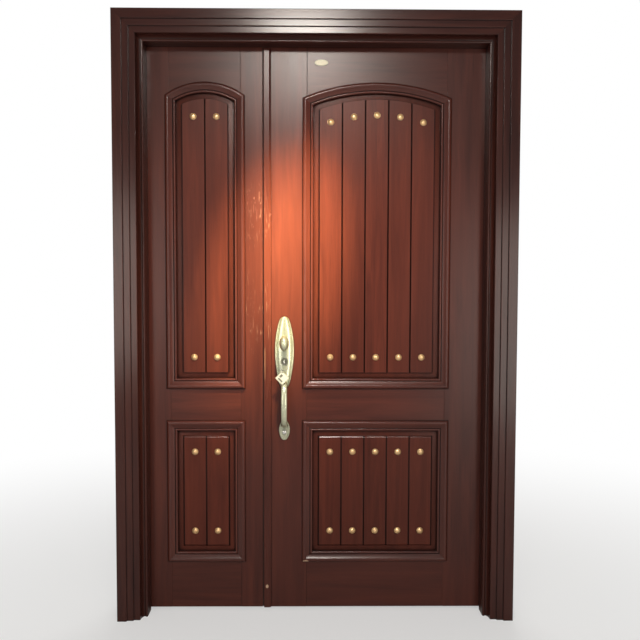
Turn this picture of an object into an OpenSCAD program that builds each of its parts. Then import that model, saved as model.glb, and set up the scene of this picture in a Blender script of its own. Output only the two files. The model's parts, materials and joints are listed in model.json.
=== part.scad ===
// Security door: a narrow fixed leaf and a wide working leaf hung in one stepped casing.
// Millimetres. X runs to the right, Y into the room, Z up. The floor is Z = 0.
// The outer face of the door looks along -Y, and both leaves swing into the room.

/* [Opening] */
// Clear width between the stops
opening_w = 1200; // [1100:5:1400]
// Clear height from the floor to the head stop
opening_h = 2025; // [1990:5:2300]
// Width of the narrow leaf from its stop to the meeting line
narrow_w = 410.5; // [390:0.5:440]
// Gap between the two leaves
meeting_gap = 4; // [3.8:0.1:6]
// Gap between a leaf edge and the frame
leaf_clear = 4; // [3.6:0.1:5]
// Gap under the leaves
floor_gap = 10; // [6:1:20]
// Leaf edge hidden behind the stop
stop_lap = 12; // [10:0.5:16]

/* [Casing] */
// Distance from the casing front to the leaf face
casing_proj = 102; // [90:1:120]
// Thickness of the casing in front of the wall
casing_t = 40; // [30:1:44]
// Width of the outermost flat band
band_1_w = 34; // [24:1:44]
// Width of the second band
band_2_w = 23; // [15:1:30]
// Width of the third band
band_3_w = 22; // [15:1:30]
// Width of the cove between the third band and the bead
cove_w = 12; // [8:1:20]
// Step back from band to band
band_step = 6; // [3:0.5:8]
// Width of the bead at the inner edge
bead_w = 9; // [6:0.5:12]
// Depth of the bead front behind the casing front
bead_depth = 40; // [30:1:46]
// Width of the frame tube seen from the front
jamb_w = 34; // [30:1:50]
// Sheet thickness of the frame tube
jamb_sheet = 2; // [1.5:0.1:3]
// Gap between the stop and the leaf face
stop_gap = 3; // [2.5:0.1:5]
// Width of the inner architrave
inner_casing_w = 66; // [50:1:90]
// Thickness of the inner architrave
inner_casing_t = 12; // [8:0.5:20]
// Gap left at each mitre
mitre_gap = 0.3; // [0.2:0.1:1]

/* [Leaves] */
// Thickness of the outer timber facing
facing_t = 20; // [18:0.5:28]
// Thickness of the steel tray and its infill
tray_t = 40; // [36:1:50]
// Thickness of the inner skin
skin_t = 12; // [10:0.5:18]
// Sheet thickness of the tray
tray_sheet = 1.5; // [1:0.1:2]
// Set back of the wide leaf tray at the meeting edge
wide_tray_back = 4; // [4:0.1:6]
// Set back of the wide leaf skin at the meeting edge
wide_skin_back = 5; // [5:0.1:7]
// Set back of the narrow leaf tray and skin at the meeting edge
narrow_back = 3; // [3:0.1:5]
// Width of the raised strip on the meeting edge
strip_w = 26; // [20:1:32]
// Height of the meeting strip above the leaf face
strip_h = 8; // [5:0.5:10]

/* [Panels] */
// Planks across the wide leaf
wide_planks = 5; // [3:1:6]
// Planks across the narrow leaf
narrow_planks = 2; // [2:1:3]
// Sloping margin between the moulding and the planks
margin_w = 22; // [16:0.5:28]
// Width of the moulding
moulding_w = 38; // [34:0.5:44]
// Stile width seen between the wide leaf moulding and the stop
wide_hinge_stile_w = 119; // [100:1:140]
// Stile width seen between the meeting edge and the wide leaf moulding
wide_lock_stile_w = 137.5; // [125:0.5:150]
// Stile width seen beside the narrow leaf moulding
narrow_stile_w = 62.05; // [50:0.05:80]
// Underside of the lower plank field
lower_field_z = 238; // [220:1:260]
// Height of the lower plank field
lower_field_h = 400; // [340:1:460]
// Height between the two plank fields
field_gap = 234; // [200:1:270]
// Drop from the head stop to the crown of the upper plank field
field_drop = 181; // [150:1:220]
// Radius of the wide plank field at its crown
wide_crown_r = 620; // [560:5:800]
// Radius of the narrow plank field at its crown
narrow_crown_r = 180; // [160:1:220]
// Height of the planks above the stile face
field_rise = 1; // [0.5:0.1:3]
// Depth of the margin below the stile face, at the moulding
margin_low = 9; // [7:0.5:11]
// Depth of the margin below the stile face, at the planks
margin_high = 5; // [3.5:0.5:6]
// Depth of the groove between planks
groove_d = 3; // [2:0.1:3.5]
// Width of the groove between planks
groove_w = 5; // [3:0.1:7]
// Radius of a dome stud
stud_r = 11.6; // [8:0.1:12]
// Height of a dome stud
stud_h = 8; // [6:0.1:9]
// Stud centre in from the end of its plank
stud_in = 55; // [45:1:65]

/* [Hinges] */
// Radius of the hinge pin
pin_r = 4; // [3:0.1:4.5]
// Running clearance of the pin
pin_fit = 0.05; // [0.02:0.01:0.1]
// Radius of a hinge knuckle
knuckle_r = 7; // [6:0.1:7.2]
// Gap between a knuckle and the back of the leaf
knuckle_gap = 0.5; // [0.4:0.1:2]
// Height of a hinge
hinge_h = 110; // [90:1:140]
// Height of the lowest hinge centre
hinge_z_low = 250; // [220:5:300]
// Height of the middle hinge centre
hinge_z_mid = 1030; // [900:5:1100]
// Top hinge centre below the head stop
hinge_from_head = 225; // [180:5:300]

/* [Lock] */
// Handle centre in from the meeting edge of the wide leaf
backset = 74; // [70:1:90]
// Height of the knob centre
knob_z = 980; // [960:1:1000]
// Drop from the knob to the key cylinder
cylinder_drop = 68; // [62:1:75]
// Length of the outer handle plate
plate_l = 258; // [230:1:280]
// Greatest width of the handle plate
plate_w = 69; // [60:1:76]
// Drop from the knob to the widest point of the handle plate
plate_drop = 27; // [15:1:40]
// Height of the handle plate dome
plate_dome = 9.6; // [8:0.1:12]
// Width of the egg knob
egg_w = 34; // [28:1:38]
// Height of the egg knob
egg_h = 55; // [44:1:58]
// Reach of the egg knob from the leaf face
egg_reach = 62; // [50:1:70]
// Drop from the knob to the pull rosette
rosette_drop = 317; // [300:1:330]
// Length of the pull rosette
rosette_l = 74; // [60:1:80]
// Width of the pull rosette
rosette_w = 40; // [30:1:46]
// Reach of the pull grip from the leaf face
grip_reach = 52; // [44:1:60]
// Widest part of the pull grip
grip_w = 22; // [16:1:26]
// Reach of the inner knob from the leaf back
inner_reach = 62; // [54:1:70]
// Radius of the cylinder housing
housing_r = 13; // [11:0.5:15]
// Radius of the cylinder plug
plug_r = 6; // [5:0.1:7]
// Running clearance of the plug
plug_fit = 0.05; // [0.02:0.01:0.1]
// Dead bolt throw
dead_throw = 30; // [25:1:34]
// Latch throw
latch_throw = 22; // [18:1:25]
// Flush bolt bar size
bar_s = 12; // [10:0.5:14]
// Flush bolt centre in from the meeting edge
bar_in = 24; // [22:1:30]
// Play around a bolt in its pocket
bolt_play = 1; // [0.5:0.1:2]
// Play around a bolt in its guide
guide_play = 0.2; // [0.1:0.05:0.5]
// Radius of the knob spindle
spindle_r = 5; // [4:0.1:6]
// Running clearance of the spindle
spindle_fit = 0.05; // [0.02:0.01:0.1]

/* [Hidden] */
$fn = 64;
cut = 200;
half = opening_w / 2;
casing_w = band_1_w + band_2_w + band_3_w + cove_w + bead_w;
tongue_d = bead_depth + bead_w / 2 + 5.5;
overall_d = casing_proj + facing_t + tray_t + skin_t + inner_reach;
front_y = -overall_d / 2;
leaf_y = front_y + casing_proj;
tray_y = leaf_y + facing_t;
skin_y = tray_y + tray_t;
back_y = skin_y + skin_t;
leaf_z = floor_gap;
leaf_top = opening_h + stop_lap;
edge_x = half + stop_lap;
rebate = stop_lap + leaf_clear;
rebate_x = half + rebate;
meet_x = narrow_w - half;
narrow_x = meet_x - meeting_gap / 2;
wide_x = meet_x + meeting_gap / 2;
narrow_c = (narrow_x - half) / 2;
narrow_a = (narrow_x + half) / 2 - narrow_stile_w - moulding_w;
wide_a = (half - wide_x - wide_hinge_stile_w - wide_lock_stile_w) / 2 - moulding_w;
wide_c = half - wide_hinge_stile_w - moulding_w - wide_a;
lap_u = moulding_w * 0.565;
panel_play = 0.5;
crown_in = 0.4;
lower_field_top = lower_field_z + lower_field_h;
upper_field_z = lower_field_top + field_gap;
upper_field_top = opening_h - field_drop;
low_z = lower_field_z - margin_w;
low_top = lower_field_top + margin_w;
up_z = upper_field_z - margin_w;
up_top = upper_field_top + margin_w;
wide_r = wide_crown_r + margin_w;
narrow_r = narrow_crown_r + margin_w;
pin_x = half + stop_lap + leaf_clear / 2;
pin_y = back_y + knuckle_r + knuckle_gap;
plate_gap = 0.2;
hinge_zs = [hinge_z_low, hinge_z_mid, opening_h - hinge_from_head];
anchor_r = 5.5;
anchor_low = 340;
anchor_step = 500;
anchor_drop = 335;
anchor_gap = 350;
anchor_high = opening_h - anchor_drop;
anchor_zs = [anchor_low, anchor_low + anchor_step, anchor_high - anchor_gap, anchor_high];
anchor_y = tray_y - 2;
handle_x = wide_x + backset;
cylinder_z = knob_z - cylinder_drop;
plate_z = knob_z - plate_drop;
rosette_z = knob_z - rosette_drop;
inner_plate_over = 50;
lock_y = tray_y + tray_t / 2;
forend_x = wide_x + wide_tray_back;
forend_t = 3;
case_x0 = forend_x + forend_t;
case_x1 = handle_x + 34;
case_z0 = cylinder_z - 122;
case_z1 = knob_z + 62;
case_t = 24;
dead_z = cylinder_z - 62;
dead_h = 50;
dead_t = 14;
latch_z = knob_z;
latch_h = 24;
latch_t = 12;
bolt_tip = forend_x + 0.5;
strike_x = narrow_x - narrow_back;
strike_z0 = dead_z - dead_h / 2 - 25;
strike_z1 = latch_z + latch_h / 2 + 25;
bar_x = narrow_x - bar_in;
bar_l = 330;
bar_top = leaf_top - 2;
bar_low = leaf_z + 2;
bar_guide = 20;
tab_x = strike_x - 0.2;
channel_x = bar_x - 22;
strike_d = strike_x - channel_x;
grip_boss = 9;
grip_y = leaf_y - plate_dome - 1;
grip_z0 = plate_z - plate_l * 0.532 + 21;
grip_z1 = rosette_z + 17;
grip_bow = grip_reach - plate_dome - 6.5;
bow_r = 11;
bow_hole_r = 3;
bow_hole_drop = 2;
hang = 0.05;
ring_r = 13;
ring_wire = 0.9;
ring_y = leaf_y - plate_dome - 25.5;
ring_z = cylinder_z - bow_hole_drop - bow_hole_r + ring_wire + hang - ring_r;
link_at = 38;
link_r = 5;
link_wire = 0.7;
link_on = ring_r - ring_wire - link_wire - hang;
link_x = handle_x - link_on * sin(link_at);
link_z = ring_z - link_on * cos(link_at) - link_r;
tag_s = 36;
tag_t = 1.6;
tag_hole_r = 2;
tag_hole_z = link_z - link_r + link_wire + hang - tag_hole_r;

wood = [0.30, 0.13, 0.11];
dark = [0.23, 0.12, 0.11];
gold = [0.78, 0.60, 0.36];
nickel = [0.80, 0.78, 0.64];
steel = [0.62, 0.63, 0.64];
grey = [0.35, 0.35, 0.36];

// Points of a quarter ellipse from [x0, y0], hollow towards the outer corner
function hollow(x0, y0, x1, y1, n) =
  [for (i = [0:n]) [x1 + (x0 - x1) * cos(90 * i / n), y0 + (y1 - y0) * sin(90 * i / n)]];
// Height where the crown of radius r meets the side at half width a
function spring(top, r, a) = top - r + sqrt(r * r - a * a);

// Box between two corners
module box(x0, x1, y0, y1, z0, z1) {
  translate([x0, y0, z0])
    cube([x1 - x0, y1 - y0, z1 - z0]);
}

// Prism through the door, from an outline in X and Z
module through(pts) {
  rotate([90, 0, 0])
    linear_extrude(height = 4 * cut, center = true)
      polygon(pts);
}

// Round bar through the door along Y
module bar_y(x, z, r, y0, y1) {
  translate([x, y0, z])
    rotate([-90, 0, 0])
      cylinder(r = r, h = y1 - y0);
}

// Skin over a row of closed rings
module loft(rings) {
  n = len(rings[0]);
  m = len(rings);
  side = [for (i = [0:m - 2], j = [0:n - 1], k = [0, 1])
    k == 0 ? [i * n + j, i * n + (j + 1) % n, (i + 1) * n + (j + 1) % n]
           : [i * n + j, (i + 1) * n + (j + 1) % n, (i + 1) * n + j]];
  low = [[for (j = [n - 1:-1:0]) j]];
  high = [[for (j = [0:n - 1]) (m - 1) * n + j]];
  polyhedron(points = [for (r = rings) each r], faces = concat(low, side, high));
}

// Frame members, from a profile drawn as distance outward and depth from the front

module frame_clip_side() {
  e = 60;
  through([[half - e, -e], [half + cut, -e],
           [half + cut, opening_h + cut - mitre_gap / 2], [half - e, opening_h - e - mitre_gap / 2]]);
}

module frame_clip_head() {
  e = 60;
  through([[-half + e, opening_h - e + mitre_gap / 2], [half - e, opening_h - e + mitre_gap / 2],
           [half + cut, opening_h + cut + mitre_gap / 2], [-half - cut, opening_h + cut + mitre_gap / 2]]);
}

module frame_side() {
  intersection() {
    linear_extrude(height = opening_h + cut)
      translate([half, front_y])
        children();
    frame_clip_side();
  }
}

module frame_head() {
  intersection() {
    rotate([90, 0, 90])
      linear_extrude(height = opening_w + 2 * cut, center = true)
        translate([front_y, opening_h])
          mirror([1, -1])
            children();
    frame_clip_head();
  }
}

module casing_profile() {
  t1 = casing_w - band_1_w;
  t2 = t1 - band_2_w;
  t3 = t2 - band_3_w;
  valley = bead_depth + bead_w / 2;
  polygon(concat(
    [[casing_w, casing_t], [casing_w, 2], [casing_w - 2, 0], [t1 + 1.5, 0], [t1, 1.5],
     [t1, band_step], [t2 + 1.5, band_step], [t2, band_step + 1.5],
     [t2, 2 * band_step], [t3 + 1.5, 2 * band_step]],
    hollow(t3, 2 * band_step + 1.5, bead_w, valley, 6),
    [for (i = [1:11]) [bead_w / 2 * (1 + cos(15 * i)), valley - bead_w / 2 * sin(15 * i)]],
    [[0, valley], [0, tongue_d], [jamb_w, tongue_d], [jamb_w, casing_t]]));
}

module jamb_outline(s) {
  d0 = tongue_d + s;
  d1 = casing_proj - stop_gap - s;
  d2 = casing_proj + facing_t + tray_t + skin_t - s;
  polygon([[s, d0], [jamb_w - s, d0], [jamb_w - s, d2], [rebate + s, d2], [rebate + s, d1], [s, d1]]);
}

module jamb_profile() {
  difference() {
    jamb_outline(0);
    jamb_outline(jamb_sheet);
  }
}

module anchor_holes() {
  for (z = anchor_zs)
    translate([half, anchor_y, z])
      rotate([0, 90, 0])
        cylinder(r = anchor_r, h = cut);
}

module right_jamb() {
  color(dark)
    difference() {
      frame_side()
        jamb_profile();
      anchor_holes();
    }
}

module left_jamb() {
  mirror([1, 0, 0])
    right_jamb();
}

module head_jamb() {
  p = bar_s / 2 + bolt_play;
  color(dark)
    difference() {
      frame_head()
        jamb_profile();
      box(bar_x - p, bar_x + p, lock_y - p, lock_y + p, opening_h, opening_h + rebate + jamb_sheet + 1);
    }
}

module right_casing() {
  color(dark)
    frame_side()
      casing_profile();
}

module left_casing() {
  mirror([1, 0, 0])
    right_casing();
}

module head_casing() {
  color(dark)
    frame_head()
      casing_profile();
}

module inner_casing_profile() {
  d = back_y - front_y;
  t0 = rebate + knuckle_r + 1;
  t1 = t0 + inner_casing_w;
  polygon([[t0, d], [t0, d + inner_casing_t - 4], [t0 + 4, d + inner_casing_t], [t1 - 14, d + inner_casing_t],
           [t1, d + inner_casing_t - 6], [t1, d]]);
}

module inner_casing() {
  color(dark) {
    frame_side()
      inner_casing_profile();
    mirror([1, 0, 0])
      frame_side()
        inner_casing_profile();
    frame_head()
      inner_casing_profile();
  }
}

module seal_profile() {
  d = casing_proj - stop_gap;
  polygon([[2, d], [2, d + 1], [4, d + stop_gap - 0.7], [8, d + stop_gap - 0.7], [10, d + 1], [10, d]]);
}

module frame_seal() {
  color([0.08, 0.08, 0.08]) {
    frame_side()
      seal_profile();
    mirror([1, 0, 0])
      frame_side()
        seal_profile();
    frame_head()
      seal_profile();
  }
}

// Hinges, drawn on the right and mirrored to the left

module knuckle(z0, z1) {
  translate([pin_x, pin_y, z0])
    cylinder(r = knuckle_r, h = z1 - z0);
}

module pin_bore(z) {
  translate([pin_x, pin_y, z - hinge_h])
    cylinder(r = pin_r + pin_fit, h = 2 * hinge_h);
}

module hinge_frame_half(z) {
  h = hinge_h / 2;
  m = hinge_h / 3;
  difference() {
    union() {
      box(pin_x + plate_gap, rebate_x, back_y - 36, back_y - 0.2, z - h, z + h);
      for (k = [[z - h, z - h + m], [z + h - m, z + h]]) {
        knuckle(k[0], k[1]);
        box(pin_x + plate_gap, rebate_x, back_y - 1, pin_y, k[0], k[1]);
      }
    }
    pin_bore(z);
  }
}

module hinge_leaf_half(z) {
  h = hinge_h / 2;
  m = hinge_h / 3 + 0.5;
  difference() {
    union() {
      box(edge_x, pin_x - plate_gap, back_y - 36, back_y - 0.2, z - h, z + h);
      knuckle(z - h + m, z + h - m);
      box(edge_x, pin_x - plate_gap, back_y - 1, pin_y, z - h + m, z + h - m);
    }
    pin_bore(z);
  }
}

module hinge_pin(z) {
  h = hinge_h / 2;
  translate([pin_x, pin_y, z - h - 4])
    cylinder(r = pin_r + 2, h = 4);
  translate([pin_x, pin_y, z - h - 1])
    cylinder(r = pin_r, h = hinge_h + 2);
  translate([pin_x, pin_y, z + h])
    cylinder(r = pin_r + 2, h = 4);
}

module hinge_frame_plates() {
  color(steel)
    for (z = hinge_zs) {
      hinge_frame_half(z);
      mirror([1, 0, 0])
        hinge_frame_half(z);
    }
}

module hinge_pins() {
  color(steel)
    for (z = hinge_zs) {
      hinge_pin(z);
      mirror([1, 0, 0])
        hinge_pin(z);
    }
}

module wide_hinge_plates() {
  color(steel)
    for (z = hinge_zs)
      hinge_leaf_half(z);
}

module narrow_hinge_plates() {
  color(steel)
    mirror([1, 0, 0])
      for (z = hinge_zs)
        hinge_leaf_half(z);
}

// Sweeps around a panel opening. The profile is drawn as distance out from the opening
// and height above the stile face.

module run_side(c, a, s, z0, z1) {
  translate([c, 0, z0])
    mirror([s < 0 ? 1 : 0, 0, 0])
      linear_extrude(height = z1 - z0)
        translate([a, leaf_y])
          mirror([0, 1])
            children();
}

module run_flat(c, a, z, up) {
  translate([c, 0, 0])
    rotate([90, 0, 90])
      linear_extrude(height = 2 * a, center = true)
        translate([leaf_y, z])
          mirror([1, 0])
            mirror([0, up ? 0 : 1])
              mirror([1, -1])
                children();
}

module run_crown(c, a, top, r, out) {
  turn = asin((a + out) / (r + out)) + 3;
  translate([c, leaf_y, top - r])
    rotate([90, 0, 0])
      rotate([0, 0, 90 - turn])
        rotate_extrude(angle = 2 * turn, $fn = 128)
          translate([r, 0])
            children();
}

// Mitre regions: one side, the foot and the head, each kept g away from the mitre line
// and running from the inner offset i to the outer offset o

module clip_side(c, a, s, z0, top, r, i, o, g) {
  za = spring(top, r, a);
  slope = (spring(top + o, r + o, a + o) - za) / o;
  translate([c, 0, 0])
    mirror([s < 0 ? 1 : 0, 0, 0])
      through([[a + i, z0 - i + g], [a + o, z0 - o + g],
               [a + o, za + slope * o - g], [a + i, za + slope * i - g]]);
}

module clip_crown(c, a, top, r, i, o, g) {
  za = spring(top, r, a);
  slope = (spring(top + o, r + o, a + o) - za) / o;
  lift = top + o + 10;
  translate([c, 0, 0])
    through([[-a - o, za + slope * o + g], [-a - i, za + slope * i + g], [a + i, za + slope * i + g],
             [a + o, za + slope * o + g], [a + o, lift], [-a - o, lift]]);
}

module clip_flat(c, a, z, up, i, o, g) {
  k = up ? 1 : -1;
  translate([c, 0, 0])
    through([[-a - i, z + k * (i + g)], [a + i, z + k * (i + g)],
             [a + o, z + k * (o + g)], [-a - o, z + k * (o + g)]]);
}

module clip_post(c, a, s, z0, z1, i, o, g) {
  translate([c, 0, 0])
    mirror([s < 0 ? 1 : 0, 0, 0])
      through([[a + i, z0 - i + g], [a + o, z0 - o + g], [a + o, z1 + o - g], [a + i, z1 + i - g]]);
}

module arched_sweep(c, a, z0, top, r, i, o, g) {
  za = spring(top, r, a);
  for (s = [-1, 1])
    intersection() {
      run_side(c, a, s, z0 - o, za + o)
        children();
      clip_side(c, a, s, z0, top, r, i, o, g);
    }
  intersection() {
    run_flat(c, a + o, z0, false)
      children();
    clip_flat(c, a, z0, false, i, o, g);
  }
  intersection() {
    run_crown(c, a, top, r, o)
      children();
    clip_crown(c, a, top, r, i, o, g);
  }
}

module square_sweep(c, a, z0, z1, i, o, g) {
  for (s = [-1, 1])
    intersection() {
      run_side(c, a, s, z0 - o, z1 + o)
        children();
      clip_post(c, a, s, z0, z1, i, o, g);
    }
  for (up = [false, true])
    intersection() {
      run_flat(c, a + o, up ? z1 : z0, up)
        children();
      clip_flat(c, a, up ? z1 : z0, up, i, o, g);
    }
}

// Outline of an arched field, grown by u from the opening
module arched_face(c, a, z0, top, r, u) {
  za = spring(top + u, r + u, a + u);
  translate([c - a - u, z0 - u])
    square([2 * (a + u), za - z0 + u - 2]);
  intersection() {
    translate([c, top - r])
      circle(r = r + u, $fn = 180);
    translate([c - a - u, za - 5])
      square([2 * (a + u), top + u - za + 20]);
  }
}

// Slab along Y between two depths, from a face drawn in X and Z
module slab(y0, y1) {
  translate([0, y1, 0])
    rotate([90, 0, 0])
      linear_extrude(height = y1 - y0)
        children();
}

// Bolection moulding: a small bead inside, a slope, a torus, and a thin foot on the stile
module moulding_profile() {
  s = moulding_w / 38;
  polygon([[0, -margin_low], [0, 1.2 * s], [9.3 * s, 1.2 * s], [10.2 * s, 3.9 * s], [25.2 * s, 10.3 * s],
           [28.2 * s, 6 * s], [28.2 * s, 0], [lap_u, 0], [lap_u, -margin_low]]);
  intersection() {
    translate([4.4 * s, 0.8 * s])
      circle(r = 4.8 * s);
    square([moulding_w, 30]);
  }
  intersection() {
    translate([28.2 * s, 2.2 * s])
      circle(r = 9 * s);
    square([moulding_w, 30]);
  }
  polygon([[lap_u, 0], [lap_u, 2], [moulding_w - 0.4, 2], [moulding_w, 1.6], [moulding_w, 0]]);
}

module margin_profile() {
  i = -margin_w - 1;
  o = lap_u - panel_play;
  polygon([[i, -facing_t], [o, -facing_t], [o, -margin_low], [0, -margin_low],
           [-margin_w, -margin_high], [i, -margin_high]]);
}

module grooves(c, a, n, z0, z1, y, s) {
  plank = 2 * (a - margin_w) / n;
  for (k = [1:n - 1])
    translate([c + (k - n / 2) * plank, y, z0 - 20])
      linear_extrude(height = z1 - z0 + 40)
        polygon([[-groove_w / 2, -s * 0.01], [groove_w / 2, -s * 0.01], [0, s * groove_d]]);
}

// Sloping margin around an arched field: side slopes, sill slope and a cone at the crown
module arched_margin(c, a, z0, top, r) {
  fall = (margin_low - margin_high) / margin_w;
  u0 = lap_u / 2;
  u1 = -margin_w - 2;
  y0 = leaf_y + margin_low + fall * u0;
  y1 = leaf_y + margin_low + fall * u1;
  za = min(spring(top + u0, r + u0, a + u0), spring(top + u1, r + u1, a + u1));
  intersection() {
    translate([c, 0, z0 - cut])
      linear_extrude(height = top - z0 + 2 * cut)
        polygon([[-a - u0, y0], [a + u0, y0], [a + u1, y1], [-a - u1, y1]]);
    translate([c - 2 * cut, 0, 0])
      rotate([90, 0, 90])
        linear_extrude(height = 4 * cut)
          polygon([[y0, z0 - u0], [y1, z0 - u1], [y1, top + cut], [y0, top + cut]]);
    union() {
      translate([c, y0, top - r])
        rotate([90, 0, 0])
          cylinder(r1 = r + u0 - crown_in, r2 = r + u1 - crown_in, h = y0 - y1, $fn = 180);
      box(c - 2 * cut, c + 2 * cut, y1 - 5, y0 + 5, z0 - cut, za - 3);
    }
  }
}

module upper_panel(c, a, r, n) {
  o = lap_u - panel_play;
  face = leaf_y - field_rise;
  difference() {
    union() {
      slab(face, leaf_y + facing_t - 1)
        arched_face(c, a, up_z, up_top, r, -margin_w);
      slab(leaf_y + margin_low, leaf_y + facing_t)
        arched_face(c, a, up_z, up_top, r, o);
      arched_margin(c, a, up_z, up_top, r);
    }
    grooves(c, a, n, up_z, up_top, face, 1);
  }
}

module lower_panel(c, a, n) {
  o = lap_u - panel_play;
  face = leaf_y - field_rise;
  difference() {
    union() {
      box(c - a + margin_w, c + a - margin_w, face, leaf_y + facing_t, lower_field_z, lower_field_top);
      square_sweep(c, a, low_z, low_top, -margin_w - 1, o, 0)
        margin_profile();
    }
    grooves(c, a, n, low_z, low_top, face, 1);
  }
}

module upper_moulding(c, a, r) {
  arched_sweep(c, a, up_z, up_top, r, 0, moulding_w, mitre_gap / 2)
    moulding_profile();
}

module lower_moulding(c, a) {
  square_sweep(c, a, low_z, low_top, 0, moulding_w, mitre_gap / 2)
    moulding_profile();
}

module top_rail(c, a, r) {
  w = a + lap_u;
  z0 = spring(up_top + lap_u, r + lap_u, w) + 0.5;
  difference() {
    box(c - w, c + w, leaf_y, tray_y, z0, leaf_top);
    bar_y(c, up_top - r, r + lap_u, leaf_y - 1, tray_y + 1);
  }
}

// Dome stud standing on a plank
module stud(x, z) {
  dome = (stud_r * stud_r + (stud_h - 1.5) * (stud_h - 1.5)) / (2 * (stud_h - 1.5));
  translate([x, leaf_y - field_rise, z])
    rotate([90, 0, 0])
      rotate_extrude($fn = 48)
        union() {
          square([stud_r, 1.5]);
          intersection() {
            translate([0, stud_h - dome])
              circle(r = dome, $fn = 96);
            translate([0, 1.4])
              square([stud_r - 0.4, stud_h]);
          }
        }
}

module studs(c, a, n, r) {
  plank = 2 * (a - margin_w) / n;
  for (k = [0:n - 1]) {
    d = (k - (n - 1) / 2) * plank;
    crown = r - margin_w - stud_in;
    stud(c + d, lower_field_z + stud_in);
    stud(c + d, lower_field_top - stud_in);
    stud(c + d, upper_field_z + stud_in);
    stud(c + d, upper_field_top - stud_in - crown + sqrt(crown * crown - d * d));
  }
}

// Folded tray, open towards the room
module tray(x0, x1) {
  s = tray_sheet;
  difference() {
    box(x0, x1, tray_y, skin_y, leaf_z, leaf_top);
    box(x0 + s, x1 - s, tray_y + s, skin_y + 1, leaf_z + s, leaf_top - s);
  }
}

// Inner skin with a flat bead around each field
module bead_profile() {
  polygon([[4, -1], [4, 0], [9, 4], [27, 4], [32, 0], [32, -1]]);
}

module inner_skin(x0, x1, c, a, r, n) {
  difference() {
    union() {
      box(x0, x1, skin_y, back_y, leaf_z, leaf_top);
      translate([0, leaf_y + back_y, 0])
        mirror([0, 1, 0]) {
          arched_sweep(c, a, up_z, up_top, r, 3, 33, 0)
            bead_profile();
          square_sweep(c, a, low_z, low_top, 3, 33, 0)
            bead_profile();
        }
    }
    grooves(c, a, n, upper_field_z, upper_field_top - 75, back_y, -1);
    grooves(c, a, n, lower_field_z, lower_field_top, back_y, -1);
  }
}

// Narrow leaf

module narrow_hinge_stile() {
  color(wood)
    box(-edge_x, narrow_c - narrow_a - lap_u, leaf_y, tray_y, leaf_z, leaf_top);
}

module narrow_meeting_stile() {
  color(wood)
    box(narrow_c + narrow_a + lap_u, narrow_x, leaf_y, tray_y, leaf_z, leaf_top);
}

module narrow_top_rail() {
  color(wood)
    top_rail(narrow_c, narrow_a, narrow_r);
}

module narrow_lock_rail() {
  w = narrow_a + lap_u;
  color(wood)
    box(narrow_c - w, narrow_c + w, leaf_y, tray_y, low_top + lap_u, up_z - lap_u);
}

module narrow_bottom_rail() {
  w = narrow_a + lap_u;
  color(wood)
    box(narrow_c - w, narrow_c + w, leaf_y, tray_y, leaf_z, low_z - lap_u);
}

module narrow_upper_moulding() {
  color(wood)
    upper_moulding(narrow_c, narrow_a, narrow_r);
}

module narrow_lower_moulding() {
  color(wood)
    lower_moulding(narrow_c, narrow_a);
}

module narrow_upper_panel() {
  color(wood)
    upper_panel(narrow_c, narrow_a, narrow_r, narrow_planks);
}

module narrow_lower_panel() {
  color(wood)
    lower_panel(narrow_c, narrow_a, narrow_planks);
}

module narrow_studs() {
  color(gold)
    studs(narrow_c, narrow_a, narrow_planks, narrow_r);
}

module narrow_steel_tray() {
  p = bar_s / 2 + bolt_play;
  color(steel)
    difference() {
      tray(-edge_x, strike_x);
      box(bar_x - p, bar_x + p, lock_y - p, lock_y + p, leaf_z - 1, leaf_z + 5);
      box(bar_x - p, bar_x + p, lock_y - p, lock_y + p, leaf_top - 5, leaf_top + 1);
      box(strike_x - 5, strike_x + 1, lock_y - 14, lock_y + 14, strike_z0, strike_z1);
      for (z = [bar_top - 220, bar_low + 220])
        box(strike_x - 5, strike_x + 1, lock_y - 5, lock_y + 5, z - 30, z + 30);
    }
}

module narrow_infill() {
  s = tray_sheet;
  g = 0.5;
  zm = [leaf_z + bar_l + 40, leaf_top - bar_l - 40];
  color([0.72, 0.64, 0.50]) {
    box(-edge_x + s, channel_x, tray_y + s, skin_y, leaf_z + s, leaf_top - s);
    box(channel_x + g, strike_x - s, tray_y + s, skin_y, zm[0], strike_z0 - g);
    box(channel_x + g, strike_x - s, tray_y + s, skin_y, strike_z1 + g, zm[1]);
  }
}

module narrow_inner_skin() {
  color(wood)
    inner_skin(-edge_x, strike_x, narrow_c, narrow_a, narrow_r, narrow_planks);
}

module strike_pocket(z, h, t, d) {
  p = bolt_play;
  box(strike_x - d, strike_x + 1, lock_y - t / 2 - p, lock_y + t / 2 + p, z - h / 2 - p, z + h / 2 + p);
}

module strike_box() {
  color(steel)
    difference() {
      box(strike_x - strike_d, strike_x, lock_y - 14, lock_y + 14, strike_z0, strike_z1);
      strike_pocket(dead_z, dead_h, dead_t, dead_throw + 2);
      strike_pocket(latch_z, latch_h, latch_t, latch_throw + 2);
    }
}

module bolt_guides() {
  s = tray_sheet;
  p = bar_s / 2 + guide_play;
  color(steel)
    for (z = [bar_low + 20, bar_low + bar_l - 40, bar_top - 20 - bar_guide, bar_top - bar_l + 20])
      difference() {
        box(channel_x + 0.5, strike_x - s, tray_y + s, skin_y, z, z + bar_guide);
        box(bar_x - p, bar_x + p, lock_y - p, lock_y + p, z - 1, z + bar_guide + 1);
      }
}

module flush_bar(z0, z1, zt) {
  h = bar_s / 2;
  box(bar_x - h, bar_x + h, lock_y - h, lock_y + h, z0, z1);
  box(bar_x, tab_x, lock_y - 3, lock_y + 3, zt - 9, zt + 9);
}

module top_bolt() {
  color(steel)
    flush_bar(bar_top - bar_l, bar_top, bar_top - 220);
}

module bottom_bolt() {
  color(steel)
    flush_bar(bar_low, bar_low + bar_l, bar_low + 220);
}

// Wide leaf

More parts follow.
